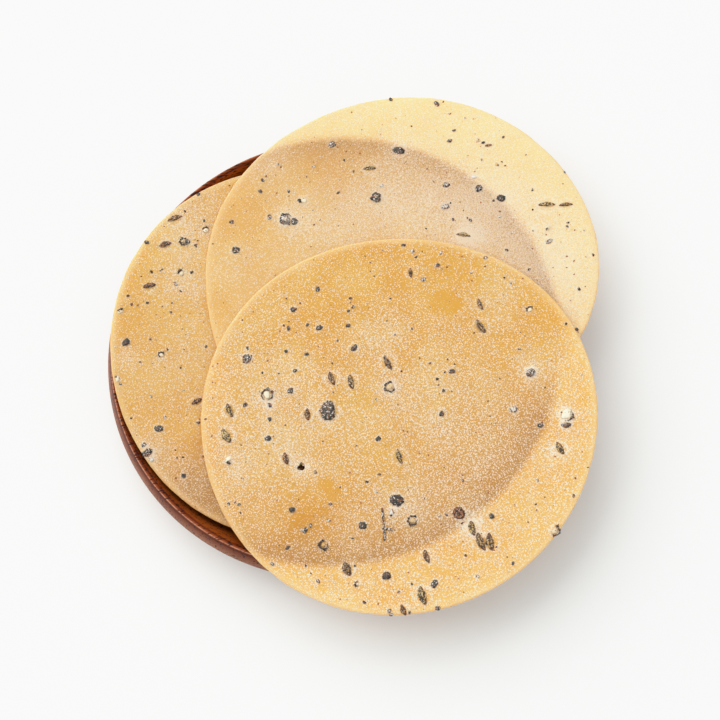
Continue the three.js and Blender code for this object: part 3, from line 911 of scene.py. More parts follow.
# %% Wood behind the dough
SHADE_SOFTNESS = 4  # over how many millimetres the shaded part begins
SHADE_REACH = 13  # over how many millimetres it weakens inside the lip
SHADE_LEFT = 0.17  # what is left of it in the middle
FREE_LIP_FADE = 9  # over how many millimetres the lip vanishes under a lower sheet
BROWNER = {TOP: 0.1, MIDDLE: 0, BOTTOM: 0}  # the top sheet is drawn a little darker and browner all over, by the painted shade's blend
PAINTED_GLOW_FROM_TABLE = {TOP: 0, MIDDLE: 1, BOTTOM: 0}  # the part of the middle sheet past the lip gets a paler painted glow, as lit from below

# across, down, radius in mm, amount
SHADED_AT_PIXELS = {
    TOP: [],
    MIDDLE: [],
    BOTTOM: [(196, 500, 17, 0.9), (160, 462, 10, 0.5), (215, 215, 14, 0.25), (165, 370, 45, 0.2)],
}


def fades_in(distance):
    """0 well before an edge, 1 well past it, and soft between."""
    share = np.clip(distance / SHADE_SOFTNESS + 0.5, 0, 1)
    return share * share * (3 - 2 * share)


def free_lip(sheet, azimuth):
    """How free the lip is of sheets that lie below this one, from 0 to 1."""
    free = 1 + 0 * azimuth
    for lower in SHEETS[:SHEETS.index(sheet)]:
        lip_x = LIP_RADIUS * np.cos(azimuth) - lower.centre[0]
        lip_y = LIP_RADIUS * np.sin(azimuth) - lower.centre[1]
        free = free * np.clip(outside_of(lower, lip_x, lip_y) / FREE_LIP_FADE, 0, 1)
    return free


def depth_inside_lip(sheet, x, y):
    """How far inside the dish's lip places lie, seen from above."""
    return LIP_RADIUS - np.hypot(*from_above(sheet, x, y))


def painted_glow_at(sheet, x, y):
    """How far the open table lights a place from below, from 0 to 1."""
    return PAINTED_GLOW_FROM_TABLE[sheet] * fades_in(-depth_inside_lip(sheet, x, y))


def shaded_at(sheet, x, y):
    """How far the wood behind takes the dough's light away, from 0 to 1."""
    shaded = BROWNER[sheet] + 0 * x
    if sheet != BOTTOM:
        stack_x, stack_y = from_above(sheet, x, y)
        depth = depth_inside_lip(sheet, x, y)
        free = free_lip(sheet, np.arctan2(stack_y, stack_x))
        near_lip = free * np.exp(-np.maximum(depth, 0) / SHADE_REACH)
        shaded = np.maximum(shaded, fades_in(depth) * (SHADE_LEFT + (1 - SHADE_LEFT) * near_lip))
    for across, down, radius, amount in SHADED_AT_PIXELS[sheet]:
        spot_x, spot_y = place_under(sheet, across, down)
        share = np.hypot(x - spot_x, y - spot_y) / radius
        shaded = np.maximum(shaded, amount * np.exp(-share ** 2))
    return shaded


# %% [markdown]
# ## The mesh of a sheet
# A disc can be a grid, a fan or a set of rings. A fan crowds its faces in the middle, so rings
# are used, and each ring has six more points than the one inside it. All faces are then about
# half a millimetre wide, fine enough for the small swellings that the pressed spices raise.
# Both faces meet in a softly rounded edge, cut a little unevenly as by a rolling cutter.

# %% Rings and strips
UPPER_RINGS = 116
LOWER_RINGS = 40
POINTS_MORE = 6  # each ring has this many points more than the ring inside it
EDGE_ROUND = 0.3
EDGE_UPRIGHT = 0.35
EDGE_STEPS = 3
EDGE_WOBBLE = 0.13
EDGE_NOTCHES = [(9, 1), (31, 0.4)]  # how often the cut edge goes in and out, and how far
RIPPLES = [(7.5, 0.07), (2.6, 0.03)]  # width and height of the dough's unevenness
SWELLING = 0.16  # how far the dough rises round a pressed spice
SWELLING_WIDTH = 1.1
SWELLING_FOOT = 0.6  # it is full up to this share of half the spice's length
SWELLING_LIMIT = 1.4  # neighbouring swellings add up to at most this many
SWELLING_FROM = 0.99  # it begins at this share of half the sheet's thickness


def stitch(inner, outer):
    """A strip of triangles between two rings that may have different numbers of points."""
    faces = []
    first = 0
    second = 0
    while first < len(inner) or second < len(outer):
        here = inner[first % len(inner)]
        there = outer[second % len(outer)]
        if (second + 1) * len(inner) <= (first + 1) * len(outer):
            faces.append((here, there, outer[(second + 1) % len(outer)]))
            second += 1
        else:
            faces.append((here, there, inner[(first + 1) % len(inner)]))
            first += 1
    return faces


def ripple(sheet, x, y):
    """The dough's slight unevenness, the same on both faces."""
    heights = np.zeros(len(x))
    for width, height in RIPPLES:
        spots = zip(x / width, y / width)
        heights += [height * noise.noise(Vector((a, b, sheet.seed))) for a, b in spots]
    return heights


def swelling(sheet, x, y):
    """The dough rises round each pressed spice."""
    height = 0 * x
    for spice_x, spice_y, reach, amount in SPICE_HALOS[sheet]:
        from_foot = np.hypot(x - spice_x, y - spice_y) - reach * SWELLING_FOOT
        away = np.maximum(0, from_foot) / SWELLING_WIDTH
        height = height + SWELLING * amount / HALO_AMOUNT * np.exp(-away ** 2)
    return np.minimum(height, SWELLING * SWELLING_LIMIT)


def wobble(sheet, azimuth):
    """Small unevenness of the cut edge."""
    edge = 0 * azimuth
    for often, height in EDGE_NOTCHES:
        spots = [Vector((math.cos(a), math.sin(a), sheet.seed)) * often for a in azimuth]
        edge = edge + height * np.array([noise.noise(spot) for spot in spots])
    return edge


# %% Build a sheet
def ring_of(sheet, count, share, inset, height):
    """One ring of points, as x, y and the height over the middle surface."""
    azimuth = np.arange(count) * 2 * math.pi / count
    edge = outline_radius(sheet, azimuth) + EDGE_WOBBLE * wobble(sheet, azimuth)
    radius = share * (edge - inset)
    return np.stack([radius * np.cos(azimuth), radius * np.sin(azimuth), 0 * azimuth + height], axis=1)


def sheet_rings(sheet):
    """All rings, from the middle of the upper face round the edge to the lower face."""
    upper = [ring_of(sheet, POINTS_MORE * ring, ring / UPPER_RINGS, EDGE_ROUND, HALF_SHEET)
             for ring in range(1, UPPER_RINGS + 1)]
    lower = [ring_of(sheet, POINTS_MORE * ring, ring / LOWER_RINGS, EDGE_ROUND, -HALF_SHEET)
             for ring in range(LOWER_RINGS, 0, -1)]
    around = POINTS_MORE * UPPER_RINGS
    upright = HALF_SHEET * EDGE_UPRIGHT
    edge = []
    for step in range(1, EDGE_STEPS + 1):
        turn = step / EDGE_STEPS * math.pi / 2
        inset = EDGE_ROUND * (1 - math.sin(turn))
        height = upright + (HALF_SHEET - upright) * math.cos(turn)
        edge.append((inset, height))
    edge += [(inset, -height) for inset, height in reversed(edge)]
    return upper + [ring_of(sheet, around, 1, inset, height) for inset, height in edge] + lower


def sheet_mesh(sheet):
    """The sheet's mesh piece, in the frame of the stack."""
    rings = [np.array([[0, 0, HALF_SHEET]]), *sheet_rings(sheet), np.array([[0, 0, -HALF_SHEET]])]
    starts = np.cumsum([0] + [len(ring) for ring in rings])
    faces = []
    for inner, outer, start, middle in zip(rings, rings[1:], starts, starts[1:]):
        inner_points = range(start, middle)
        outer_points = range(middle, middle + len(outer))
        if len(inner) == 1:
            faces += [(start, a, b) for a, b in zip(outer_points, [*outer_points[1:], middle])]
        elif len(outer) == 1:
            faces += [(a, middle, b) for a, b in zip(inner_points, [*inner_points[1:], start])]
        else:
            faces += stitch(inner_points, outer_points)
    local = np.concatenate(rings)
    x, y, height = local.T
    raised = height + lift(sheet, x, y) + ripple(sheet, x, y)
    # The swellings take hold only where the dough's own lift and ripple leave it this high.
    swollen = np.where(raised > HALF_SHEET * SWELLING_FROM, swelling(sheet, x, y), 0)
    local[:, 2] = raised + swollen
    return mesh_piece("rolled_" + sheet.name, to_stack(sheet, local), faces)


sheet_pieces = {sheet: sheet_mesh(sheet) for sheet in SHEETS}
print("points of the sheets:", [len(piece.data.vertices) for piece in sheet_pieces.values()])

# %% [markdown]
# ## The pinhole
# One bit of spice has dropped out of the top sheet and left a small ragged hole. A texture
# could paint a dark dot there, but a true hole lets the shadow below show through. The Boolean
# modifier cuts it with a small ragged prism, and the result is kept as the sheet's mesh.

# %% Cut the pinhole
PINHOLE_RADIUS = 1.25
PINHOLE_SIDES = 9
PINHOLE_RAGGED = 0.5
PINHOLE_NOTCHES = 3
PINHOLE_SEED = 5
CUT_REACH = 2  # how far the cutter reaches up and down


def pinhole_cutter(sheet):
    """A ragged upright prism where the pinhole lies."""
    x, y = place_under(sheet, *PINHOLE_AT_PIXEL)
    points = []
    for height in (-CUT_REACH, CUT_REACH):
        for side in range(PINHOLE_SIDES):
            azimuth = 2 * math.pi * side / PINHOLE_SIDES
            across = PINHOLE_NOTCHES * math.cos(azimuth)
            along = PINHOLE_NOTCHES * math.sin(azimuth)
            ragged = noise.noise(Vector((across, along, PINHOLE_SEED)))
            radius = PINHOLE_RADIUS * (1 + PINHOLE_RAGGED * ragged)
            points.append((x + radius * math.cos(azimuth), y + radius * math.sin(azimuth), height))
    faces = [tuple(reversed(range(PINHOLE_SIDES))), tuple(range(PINHOLE_SIDES, 2 * PINHOLE_SIDES))]
    for side in range(PINHOLE_SIDES):
        following = (side + 1) % PINHOLE_SIDES
        faces.append((side, following, PINHOLE_SIDES + following, PINHOLE_SIDES + side))
    return mesh_piece("pinhole_cutter", to_stack(sheet, points), faces)


def cut(piece, cutter):
    """Takes the cutter's shape out of the piece and removes the cutter."""
    modifier = piece.modifiers.new("cut", "BOOLEAN")
    modifier.operation = "DIFFERENCE"
    modifier.solver = "MANIFOLD"
    modifier.object = cutter
    evaluated = piece.evaluated_get(bpy.context.evaluated_depsgraph_get())
    cut_mesh = bpy.data.meshes.new_from_object(evaluated)
    cut_mesh.materials.clear()
    piece.modifiers.clear()
    piece.data = cut_mesh
    bpy.data.objects.remove(cutter)


points_before = len(sheet_pieces[TOP].data.vertices)
cut(sheet_pieces[TOP], pinhole_cutter(TOP))
print("the cut changed", points_before, "points to", len(sheet_pieces[TOP].data.vertices))

# %% [markdown]
# ## Dried lentil dough
# The dough is golden, dry and a little translucent: where a sheet hangs over the white table
# it glows, and over the dark dish it goes brown. Subsurface scattering does the larger part of
# this, as it lets light wander through the thin closed mesh, and the stored numbers add the rest
# as painted shade and a painted glow. On top lies flour in grains of a third of a millimetre, as a
# fine noise that a threshold turns into specks. The stored thickness of the flour moves it.

# %% Colours and grains of the dough
DOUGH_DEEP = srgb(231, 160, 50)
DOUGH_LIGHT = srgb(239, 174, 76)
DOUGH_RIM = srgb(240, 194, 142)
DOUGH_EDGE = srgb(206, 146, 84)
DOUGH_SHADED = srgb(116, 84, 50)
DOUGH_PAINTED_GLOW = srgb(255, 216, 178)
FLOUR_CREAM = srgb(248, 230, 210)
HUSK_BROWN = srgb(168, 88, 38)
SCATTER_REACH = (0.4, 0.46, 0.5)
SCATTER_SCALE = 7
FLOUR_OPACITY = 0.5
EVEN_COVER = 0.3  # the cover where the flour is so fine that its specks don't show
FLOUR_SPECKLE = 0.38  # sizes and spacings of the grains, in mm
FLOUR_DOTS = 0.55
FLOUR_PATCHES = 9
GOLD_CLOUDS = 16
HUSK_SPACING = 3.4


# %% Dried lentil dough
def lentil_dough():
    finish = Finish("dried_lentil_dough", Roughness=0.78, Specular_IOR_Level=0.3,
                    Subsurface_Scale=SCATTER_SCALE * MM, Subsurface_Radius=SCATTER_REACH)
    flour = finish.mark("flour")
    rim = finish.mark("rim")
    speckle = finish.grain(FLOUR_SPECKLE, detail=1, roughness=0.7)
    dots = finish.between(finish.cells(FLOUR_DOTS), 0.44, 0.22)
    patch = finish.grain(FLOUR_PATCHES, detail=3)
    level = finish.sum((speckle, 0.8), (dots, 0.26), (patch, 0.08), (flour, 0.34))
    specks_of_flour = finish.between(level, 0.66, 0.84)
    crisp = finish.mark("crisp")
    shaded = finish.mark("shaded")
    crisp_specks = finish.product(specks_of_flour, crisp)
    cover = finish.sum((crisp_specks, 1), (crisp, -EVEN_COVER), (1, EVEN_COVER))
    cover = finish.product(cover, finish.between(shaded, 0, 1, 1, 0.75))
    tint = finish.between(finish.grain(GOLD_CLOUDS, detail=3), 0.35, 0.65)
    gold = finish.blend(tint, DOUGH_DEEP, DOUGH_LIGHT)
    husk = finish.between(finish.cells(HUSK_SPACING), 0.06, 0.1, 0.6, 0)
    gold = finish.blend(husk, gold, HUSK_BROWN)
    veil = finish.between(finish.sum((flour, 1), (patch, 0.4)), 0.6, 1.6, 0.03, 0.3)
    gold = finish.blend(veil, gold, FLOUR_CREAM)
    gold = finish.blend(finish.product(shaded, 0.62), gold, DOUGH_SHADED)
    dusted = finish.blend(finish.product(cover, 0.88), gold, FLOUR_CREAM)
    # painted glow: the dough is drawn paler where the open table lights it from below
    dusted = finish.blend(finish.product(finish.mark("open"), 0.3), dusted, DOUGH_PAINTED_GLOW)
    colour = finish.blend(finish.product(rim, 0.5), dusted, DOUGH_RIM)
    colour = finish.blend(finish.product(finish.mark("edge"), 0.85), colour, DOUGH_EDGE)
    glow = finish.sum((cover, -FLOUR_OPACITY), (1, 1))
    finish.links.new(glow, finish.shader.inputs["Subsurface Weight"])
    relief = finish.sum((cover, 0.6), (speckle, 0.5))
    return finish.show(colour, height=relief, depth=0.09)


dough = lentil_dough()

# %% Mark the sheets and hand them over
CRISPNESS = {TOP: 1, MIDDLE: 0.6, BOTTOM: 0.8}  # how clearly single specks of flour show
RIM_INSIDE = 0.7  # how far inside the cut edge the pale band runs
RIM_WIDTH = 1.1


def mark_sheet(sheet, piece):
    """Stores what the dough's finish reads: flour, shade, open table, and the cut edge's bands."""
    points = np.zeros(len(piece.data.vertices) * 3)
    piece.data.vertices.foreach_get("co", points)
    local = (points.reshape(-1, 3) / MM - np.array(sheet.centre)) @ tilt_of(sheet)
    x, y, _ = local.T
    inside = -outside_of(sheet, x, y)
    mark(piece, "flour", flour_at(sheet, x, y))
    mark(piece, "shaded", shaded_at(sheet, x, y))
    mark(piece, "open", painted_glow_at(sheet, x, y))
    mark(piece, "crisp", CRISPNESS[sheet] + 0 * x)
    mark(piece, "rim", np.exp(-((inside - RIM_INSIDE) / RIM_WIDTH) ** 2))
    mark(piece, "edge", np.exp(-(inside / EDGE_ROUND) ** 2))


for sheet, piece in sheet_pieces.items():
    mark_sheet(sheet, piece)
    piece.data.set_sharp_from_angle(angle=SHARP_EDGE)
    hand_over(piece, dough, "papadum_dough", sheet.name)

# %% [markdown]
# ## Gathering small things
# Hundreds of spices as separate objects would be slow and hard to handle. Instances would be
# light, but here every piece has a shape of its own. So each kind is gathered into one mesh:
# a small class collects the points and faces of many little bodies, and the numbers that say
# how each of them is coloured, and makes a single piece of them at the end.

# %% Heaps
class Heap:
    """Many small bodies of one kind, gathered into a single mesh."""

    def __init__(self, name):
        self.name = name
        self.points = []
        self.faces = []
        self.marks = {}
        self.count = 0

    def add(self, points, faces, **marks):
        self.faces += [tuple(self.count + corner for corner in face) for face in faces]
        self.points.append(points)
        for name, value in marks.items():
            self.marks.setdefault(name, []).append(np.zeros(len(points)) + value)
        self.count += len(points)

    def build(self):
        piece = mesh_piece(self.name, np.concatenate(self.points), self.faces)
        for name, values in self.marks.items():
            mark(piece, name, np.concatenate(values))
        return piece


# %% Lay a small body on a sheet
SLOPE_STEP = 0.5  # how far to each side a sheet's slope is read


def laid(sheet, points, x, y, turn, face=1):
    """Points of a small body, turned and laid on a face of a sheet, in the stack."""
    step = SLOPE_STEP
    slope_x = (lift(sheet, x + step, y) - lift(sheet, x - step, y)) / (2 * step)
    slope_y = (lift(sheet, x, y + step) - lift(sheet, x, y - step)) / (2 * step)
    normal = Vector((-slope_x, -slope_y, 1)).normalized()
    along = Vector((math.cos(turn), math.sin(turn), 0))
    along = (along - along.dot(normal) * normal).normalized()
    aside = normal.cross(along)
    if face < 0:
        aside, normal = -aside, -normal
    spot_x = np.array([x])
    spot_y = np.array([y])
    ground = lift(sheet, x, y) + ripple(sheet, spot_x, spot_y)[0] + face * HALF_SHEET
    if face > 0:
        ground += swelling(sheet, spot_x, spot_y)[0]
    directions = np.array((along, aside, normal))
    return to_stack(sheet, points @ directions + np.array((x, y, ground)))


# %% Little bodies
OFFSET_STEPS = (7.3, 1.7, 3.1)
SMOOTH_LUMPS = [(1.5, 1), (3.1, 0.6)]  # how often the lumps come on a ball, and how high
WRINKLES = [(4.2, 1), (8.5, 0.6)]
MIDDLE_WRINKLE = 0.3


@cache
def ball(level):
    """Points and triangles of a round ball of radius 1, split this many times."""
    shape = bmesh.new()
    bmesh.ops.create_icosphere(shape, subdivisions=level, radius=1)
    points = np.array([vertex.co[:] for vertex in shape.verts])
    faces = [tuple(vertex.index for vertex in face.verts) for face in shape.faces]
    shape.free()
    return points, faces


def noise_offset(seed):
    """Where a body with this seed reads the noise, so that no two bodies are alike."""
    return Vector([seed * step for step in OFFSET_STEPS])


def pebble(long, wide, high, seed, uneven, wrinkle, level):
    """An irregular lump, which reaches half its height over its seat."""
    points, faces = ball(level)
    offset = noise_offset(seed)
    shaped = []
    for point in points:
        spot = Vector(point)
        radius = 1
        for often, height in SMOOTH_LUMPS:
            radius += uneven * height * noise.noise(spot * often + offset)
        if wrinkle:
            folds = sum(height * abs(noise.noise(spot * often + offset)) for often, height in WRINKLES)
            radius += wrinkle * (folds - MIDDLE_WRINKLE)
        shaped.append(spot * radius)
    return np.array(shaped) * (long / 2, wide / 2, high / 2), faces


# %% Cracked lumps
CHIPS = 7
CHIP_TOWARDS = (1, 1, 0.7)  # chips come off the sides more than off the top
CHIP_DEPTHS = (0.6, 0.95)  # how far from the middle of the ball they are knocked off
RAGGED = 0.2
COARSE_FOLDS = 3.4
FINE_FOLDS = 8


def chipped(long, wide, high, seed, level, chips=CHIPS):
    """A cracked lump, a ball with flat chips knocked off, and how near each point is to its middle."""
    points, faces = ball(level)
    draw = np.random.default_rng(int(abs(seed) * 10))
    towards = draw.normal(size=(chips, 3)) * CHIP_TOWARDS
    towards /= np.linalg.norm(towards, axis=1, keepdims=True)
    depth = draw.uniform(*CHIP_DEPTHS, chips)
    kept = depth / np.maximum(points @ towards.T, 0.01)
    shaped = points * np.minimum(1, kept.min(axis=1, keepdims=True))
    offset = noise_offset(seed)
    folds = []
    for spot in map(Vector, points):
        fold = abs(noise.noise(spot * COARSE_FOLDS + offset))
        folds.append(fold + 0.5 * noise.noise(spot * FINE_FOLDS + offset))
    shaped *= 1 + RAGGED * (2 * np.array(folds)[:, None] - 0.5)
    shaped[:, :2] /= np.abs(shaped[:, :2]).max(axis=0)
    middle = 1 - np.hypot(shaped[:, 0], shaped[:, 1])
    return shaped * (long / 2, wide / 2, high / 2), faces, middle


# %% [markdown]
# ## Pressed peppercorns
# The roller cracks the peppercorns and presses them into the dough, so they lie half sunk and
# flattened, angular, with black wrinkled skin round a paler inside. A ball gives the body. Flat
# cuts at drawn angles make it angular, and folded noise, which is noise with its sign taken off,
# wrinkles it. Where a corn broke open, a ragged ring of skin stays round the pale core, so a
# bent strip and a small lump make it.

# %% Broken skins
SKIN_THICKNESS = 0.5
SKIN_HEIGHT = 0.75
SKIN_STEPS = 44
SKIN_SIDES = 8
SKIN_TAPER = 6  # each end thins out over about a sixth of the length
SKIN_END = 0.25  # the share of the thickness that is left at its very end
SKIN_WANDER = 0.18
COARSE_NOTCHES = 2
FINE_NOTCHES = 7
THINNEST = 0.1
LOWEST = 0.15


def around(angle, often, seed):
    """Noise that goes up and down this often on the way round a circle."""
    return noise.noise(Vector((often * math.cos(angle), often * math.sin(angle), seed)))


def skin_arc(size, sweep, seed):
    """A bent strip of broken skin round a core, with ragged thickness and tapered ends."""
    points = []
    for step in range(SKIN_STEPS + 1):
        share = step / SKIN_STEPS
        angle = math.radians(sweep * share)
        rough = around(angle, COARSE_NOTCHES, seed)
        fine = around(angle, FINE_NOTCHES, seed + 9)
        taper = min(1, SKIN_TAPER * share + SKIN_END, SKIN_TAPER * (1 - share) + SKIN_END)
        radius = size / 2 - SKIN_THICKNESS / 2 + SKIN_WANDER * rough * size / 2
        thick = SKIN_THICKNESS * max(THINNEST, 1 + 1.3 * rough + 1.9 * fine) * taper
        high = SKIN_HEIGHT * max(LOWEST, 1 + 1.1 * rough + 2 * fine) * taper
        for side in range(SKIN_SIDES):
            section = 2 * math.pi * side / SKIN_SIDES
            away = radius + thick / 2 * math.cos(section)
            points.append((away * math.cos(angle), away * math.sin(angle), high / 2 * math.sin(section)))
    faces = [tuple(range(SKIN_SIDES)), tuple(reversed(range(len(points) - SKIN_SIDES, len(points))))]
    for start in range(0, len(points) - SKIN_SIDES, SKIN_SIDES):
        for side in range(SKIN_SIDES):
            following = (side + 1) % SKIN_SIDES
            faces.append((start + following, start + side, start + side + SKIN_SIDES,
                          start + following + SKIN_SIDES))
    return np.array(points), faces


# %% Peppercorns and their cores
PEPPER_HEIGHT = 0.36  # share of the width
PRESSED_WIDTH = 3.5  # corns wider than this are pressed flatter
LARGE_CORN = 2.8
LARGE_DETAIL = 4  # how often the ball under a large corn is split
SMALL_DETAIL = 3
CORE_HEIGHT = 0.7
CORE_LONG = 1.15
CORE_WIDE = 0.87
SKIN_PALENESS = 0.25  # how much of its core's paleness a skin shares

peppercorns = Heap("pressed_peppercorns")
cores = Heap("pale_pepper_cores")

for sheet in SHEETS:
    for across, down, long, wide, turn, tone in PEPPER_AT_PIXELS[sheet]:
        x, y = place_under(sheet, across, down)
        high = PEPPER_HEIGHT * (2 * min(wide, PRESSED_WIDTH) + wide) / 3
        detail = LARGE_DETAIL if long > LARGE_CORN else SMALL_DETAIL
        body, faces, middle = chipped(long, wide, high, across + down, detail)
        seat_turn = turn_under(sheet, across, down, turn)
        peppercorns.add(laid(sheet, body, x, y, seat_turn), faces, tone=tone, middle=middle)
    for across, down, size, first, sweep, core, core_tone in RING_AT_PIXELS[sheet]:
        x, y = place_under(sheet, across, down)
        skin, faces = skin_arc(size, sweep, across + down)
        seat_turn = turn_under(sheet, across, down, first)
        skin_tone = SKIN_PALENESS * core_tone
        peppercorns.add(laid(sheet, skin, x, y, seat_turn), faces, tone=skin_tone, middle=0)
        sizes = (core * CORE_LONG, core * CORE_WIDE, CORE_HEIGHT)
        body, faces, _ = chipped(*sizes, across + 2 * down, SMALL_DETAIL)
        cores.add(laid(sheet, body, x, y, seat_turn), faces, tone=core_tone)
print("peppercorn points:", peppercorns.count, "core points:", cores.count)

# %% [markdown]
# ## Cumin seeds
# A cumin seed is a slim spindle with ridges along it, pale ridges between dark furrows, and it
# comes to a point at both ends. A stretched ball has no ridges, so the seed is swept: rings of
# points along its length, each ring a circle whose radius rises and falls for the ridges. The
# ridge number is stored with each point, so that the finish can colour ridge and furrow.

# %% Ridged seeds
SEED_STEPS = 22
SEED_SIDES = 30
SEED_RIDGES = 6
RIDGE_DEPTH = 0.12
SEED_BEND = 0.05
SEED_HEIGHT = 0.56  # share of the width
SEED_SLIMNESS = 0.93  # the listed widths include the flour along the sides
SEED_FULLNESS = 0.72  # below 1 the spindle is fuller near its ends
ROUGH_OUTLINE = 0.28
LUMPS_ALONG = 6
NICK_DEPTH = 0.2
NICKS_ALONG = 14
NICKS_ACROSS = 2
DARK_TIPS = 0.9
TIP_SHARPNESS = 4

seeds = Heap("cumin_seeds")


def ridged_seed(long, wide, seed):
    """A ridged spindle, and for each of its points how high it stands between the furrows."""
    points = []
    ridges = []
    for step in range(SEED_STEPS + 1):
        share = step / SEED_STEPS
        swell = math.sin(math.pi * (0.03 + 0.94 * share)) ** SEED_FULLNESS * SEED_SLIMNESS
        rough = 1 + ROUGH_OUTLINE * noise.noise(Vector((share * LUMPS_ALONG, seed, 0)))
        tip = DARK_TIPS * abs(2 * share - 1) ** TIP_SHARPNESS
        bow = SEED_BEND * long * math.sin(math.pi * share)
        for side in range(SEED_SIDES):
            section = 2 * math.pi * side / SEED_SIDES
            cosine = math.cos(section)
            sine = math.sin(section)
            ridge = math.cos(SEED_RIDGES * section + seed)
            spot = (share * NICKS_ALONG, cosine * NICKS_ACROSS, seed + sine * NICKS_ACROSS)
            nick = noise.noise(Vector(spot))
            radius = swell * rough * (1 + RIDGE_DEPTH * ridge + NICK_DEPTH * nick)
            aside = radius * wide / 2 * cosine + bow
            points.append((long * (share - 0.5), aside, radius * wide * SEED_HEIGHT / 2 * sine))
            ridges.append(0.5 + 0.5 * ridge + 0.5 * nick - tip)
    last = SEED_STEPS * SEED_SIDES
    faces = [tuple(reversed(range(SEED_SIDES))), tuple(range(last, last + SEED_SIDES))]
    for start in range(0, last, SEED_SIDES):
        for side in range(SEED_SIDES):
            following = (side + 1) % SEED_SIDES
            faces.append((start + side, start + following, start + following + SEED_SIDES,
                          start + side + SEED_SIDES))
    return np.array(points), faces, np.array(ridges)


for sheet in SHEETS:
    for across, down, long, wide, turn, tone in SEED_AT_PIXELS[sheet]:
        x, y = place_under(sheet, across, down)
        body, faces, ridges = ridged_seed(long, wide, across)
        seat_turn = turn_under(sheet, across, down, turn)
        seeds.add(laid(sheet, body, x, y, seat_turn), faces, tone=tone, ridge=ridges)
print("cumin points:", seeds.count)

# %% [markdown]
# ## A bit of stalk
# Near the middle of the top sheet lies a thin black stalk with one side shoot. It could be a
# curve with a bevel, but a stalk is lumpy, so a string of short overlapping lumps along its
# line looks more like it. The line is given by a few pixels, from end to end.

# %% Stalk
STALK_AT_PIXELS = [(382, 509.5), (383, 516), (383.6, 523), (384, 530), (384.8, 536), (384.6, 541)]
SHOOT_AT_PIXELS = [(384, 528.5), (389.5, 529.2), (394.5, 530.2)]
STALK_WIDTH = 0.75
STALK_STEP = 0.45
LUMP_LENGTH = 1.1
LUMP_DETAIL = 2
LUMP_TONES = [0.2, 0.4, 0.6]  # they come in turn, so that the stalk is mottled

stalk = Heap("pepper_stalk")


def lay_stalk(sheet, line, seed):
    """Lays overlapping lumps along a line of pixels."""
    spots = [place_under(sheet, *pixel) for pixel in line]
    number = 0
    for (x, y), (next_x, next_y) in zip(spots, spots[1:]):
        length = math.hypot(next_x - x, next_y - y)
        turn = math.atan2(next_y - y, next_x - x)
        steps = max(1, round(length / STALK_STEP))
        for step in range(steps):
            number += 1
            share = step / steps
            width = STALK_WIDTH * (1 + 0.5 * noise.noise(Vector((number * 0.9, seed, 0))))
            body, faces = pebble(LUMP_LENGTH, width, width, number + seed, 0.3, 0.1, LUMP_DETAIL)
            spot = (x + share * (next_x - x), y + share * (next_y - y))
            tone = LUMP_TONES[number % len(LUMP_TONES)]
            stalk.add(laid(sheet, body, *spot, turn), faces, tone=tone, middle=0)


lay_stalk(TOP, STALK_AT_PIXELS, 3)
lay_stalk(TOP, SHOOT_AT_PIXELS, 8)
print("stalk points:", stalk.count)

# %% [markdown]
# ## Bits, specks and flour
# Below a millimetre nobody would list the pieces one by one. The listed bits are small sharp
# lumps. Beyond them, specks of husk and pepper are strewn by a seeded random draw over both
# faces, and grains of flour are strewn on top, more of them where the flour lies thick.

# %% Bits of cracked pepper
BIT_LENGTH = 1.12  # share of the listed size
BIT_HEIGHT = 0.5
BIT_FULL_HEIGHT = 1.6  # larger bits stand no higher than one of this size
BIT_CHIPS = 5
BIT_DETAIL = 2

bits = Heap("cracked_pepper_bits")
for sheet in SHEETS:
    for across, down, size, tone in BIT_AT_PIXELS[sheet]:
        x, y = place_under(sheet, across, down)
        wide = size * (0.72 + 0.2 * ((across * 7) % 1))
        high = BIT_HEIGHT * min(size, BIT_FULL_HEIGHT)
        sizes = (size * BIT_LENGTH, wide, high)
        body, faces, middle = chipped(*sizes, across + 3 * down, BIT_DETAIL, BIT_CHIPS)
        bits.add(laid(sheet, body, x, y, across * 1.3), faces, tone=tone, middle=middle)
print("bit points:", bits.count)

# %% Strewn specks
SPECKS_PER_FACE = 420
SPECK_SIZES = (0.22, 0.75)
SPECK_SHAPE = (1.2, 0.85, 0.6)  # length, width and height as shares of the size
SMALL_SPECKS = 2.6  # the higher, the more of the specks are small ones
STREW_MARGIN = 0.6
STREW_SEED = 41

random = np.random.default_rng(STREW_SEED)

specks = Heap("strewn_specks")


def strewn(sheet, count, face):
    """Places drawn evenly over the open part of a face, in the sheet's own frame."""
    azimuth = random.uniform(0, 2 * math.pi, count)
    reach = np.sqrt(random.uniform(0, 1, count))
    radius = reach * (outline_radius(sheet, azimuth) - STREW_MARGIN)
    x = radius * np.cos(azimuth)
    y = radius * np.sin(azimuth)
    if face > 0:
        open_part = ~is_covered(sheet, x, y)
        return x[open_part], y[open_part]
    return x, y


def strew_specks(sheet, face):
    """Strews specks over a sheet's upper face, 1, or its lower face, -1."""
    for x, y in zip(*strewn(sheet, SPECKS_PER_FACE, face)):
        small, large = SPECK_SIZES
        size = small + (large - small) * random.uniform() ** SMALL_SPECKS
        sizes = [size * share for share in SPECK_SHAPE]
        body, faces = pebble(*sizes, random.uniform(0, 99), 0.5, 0, 1)
        turn = random.uniform(0, math.pi)
        specks.add(laid(sheet, body, x, y, turn, face), faces, tone=random.uniform())


for sheet in SHEETS:
    strew_specks(sheet, 1)
    strew_specks(sheet, -1)
print("speck points:", specks.count)

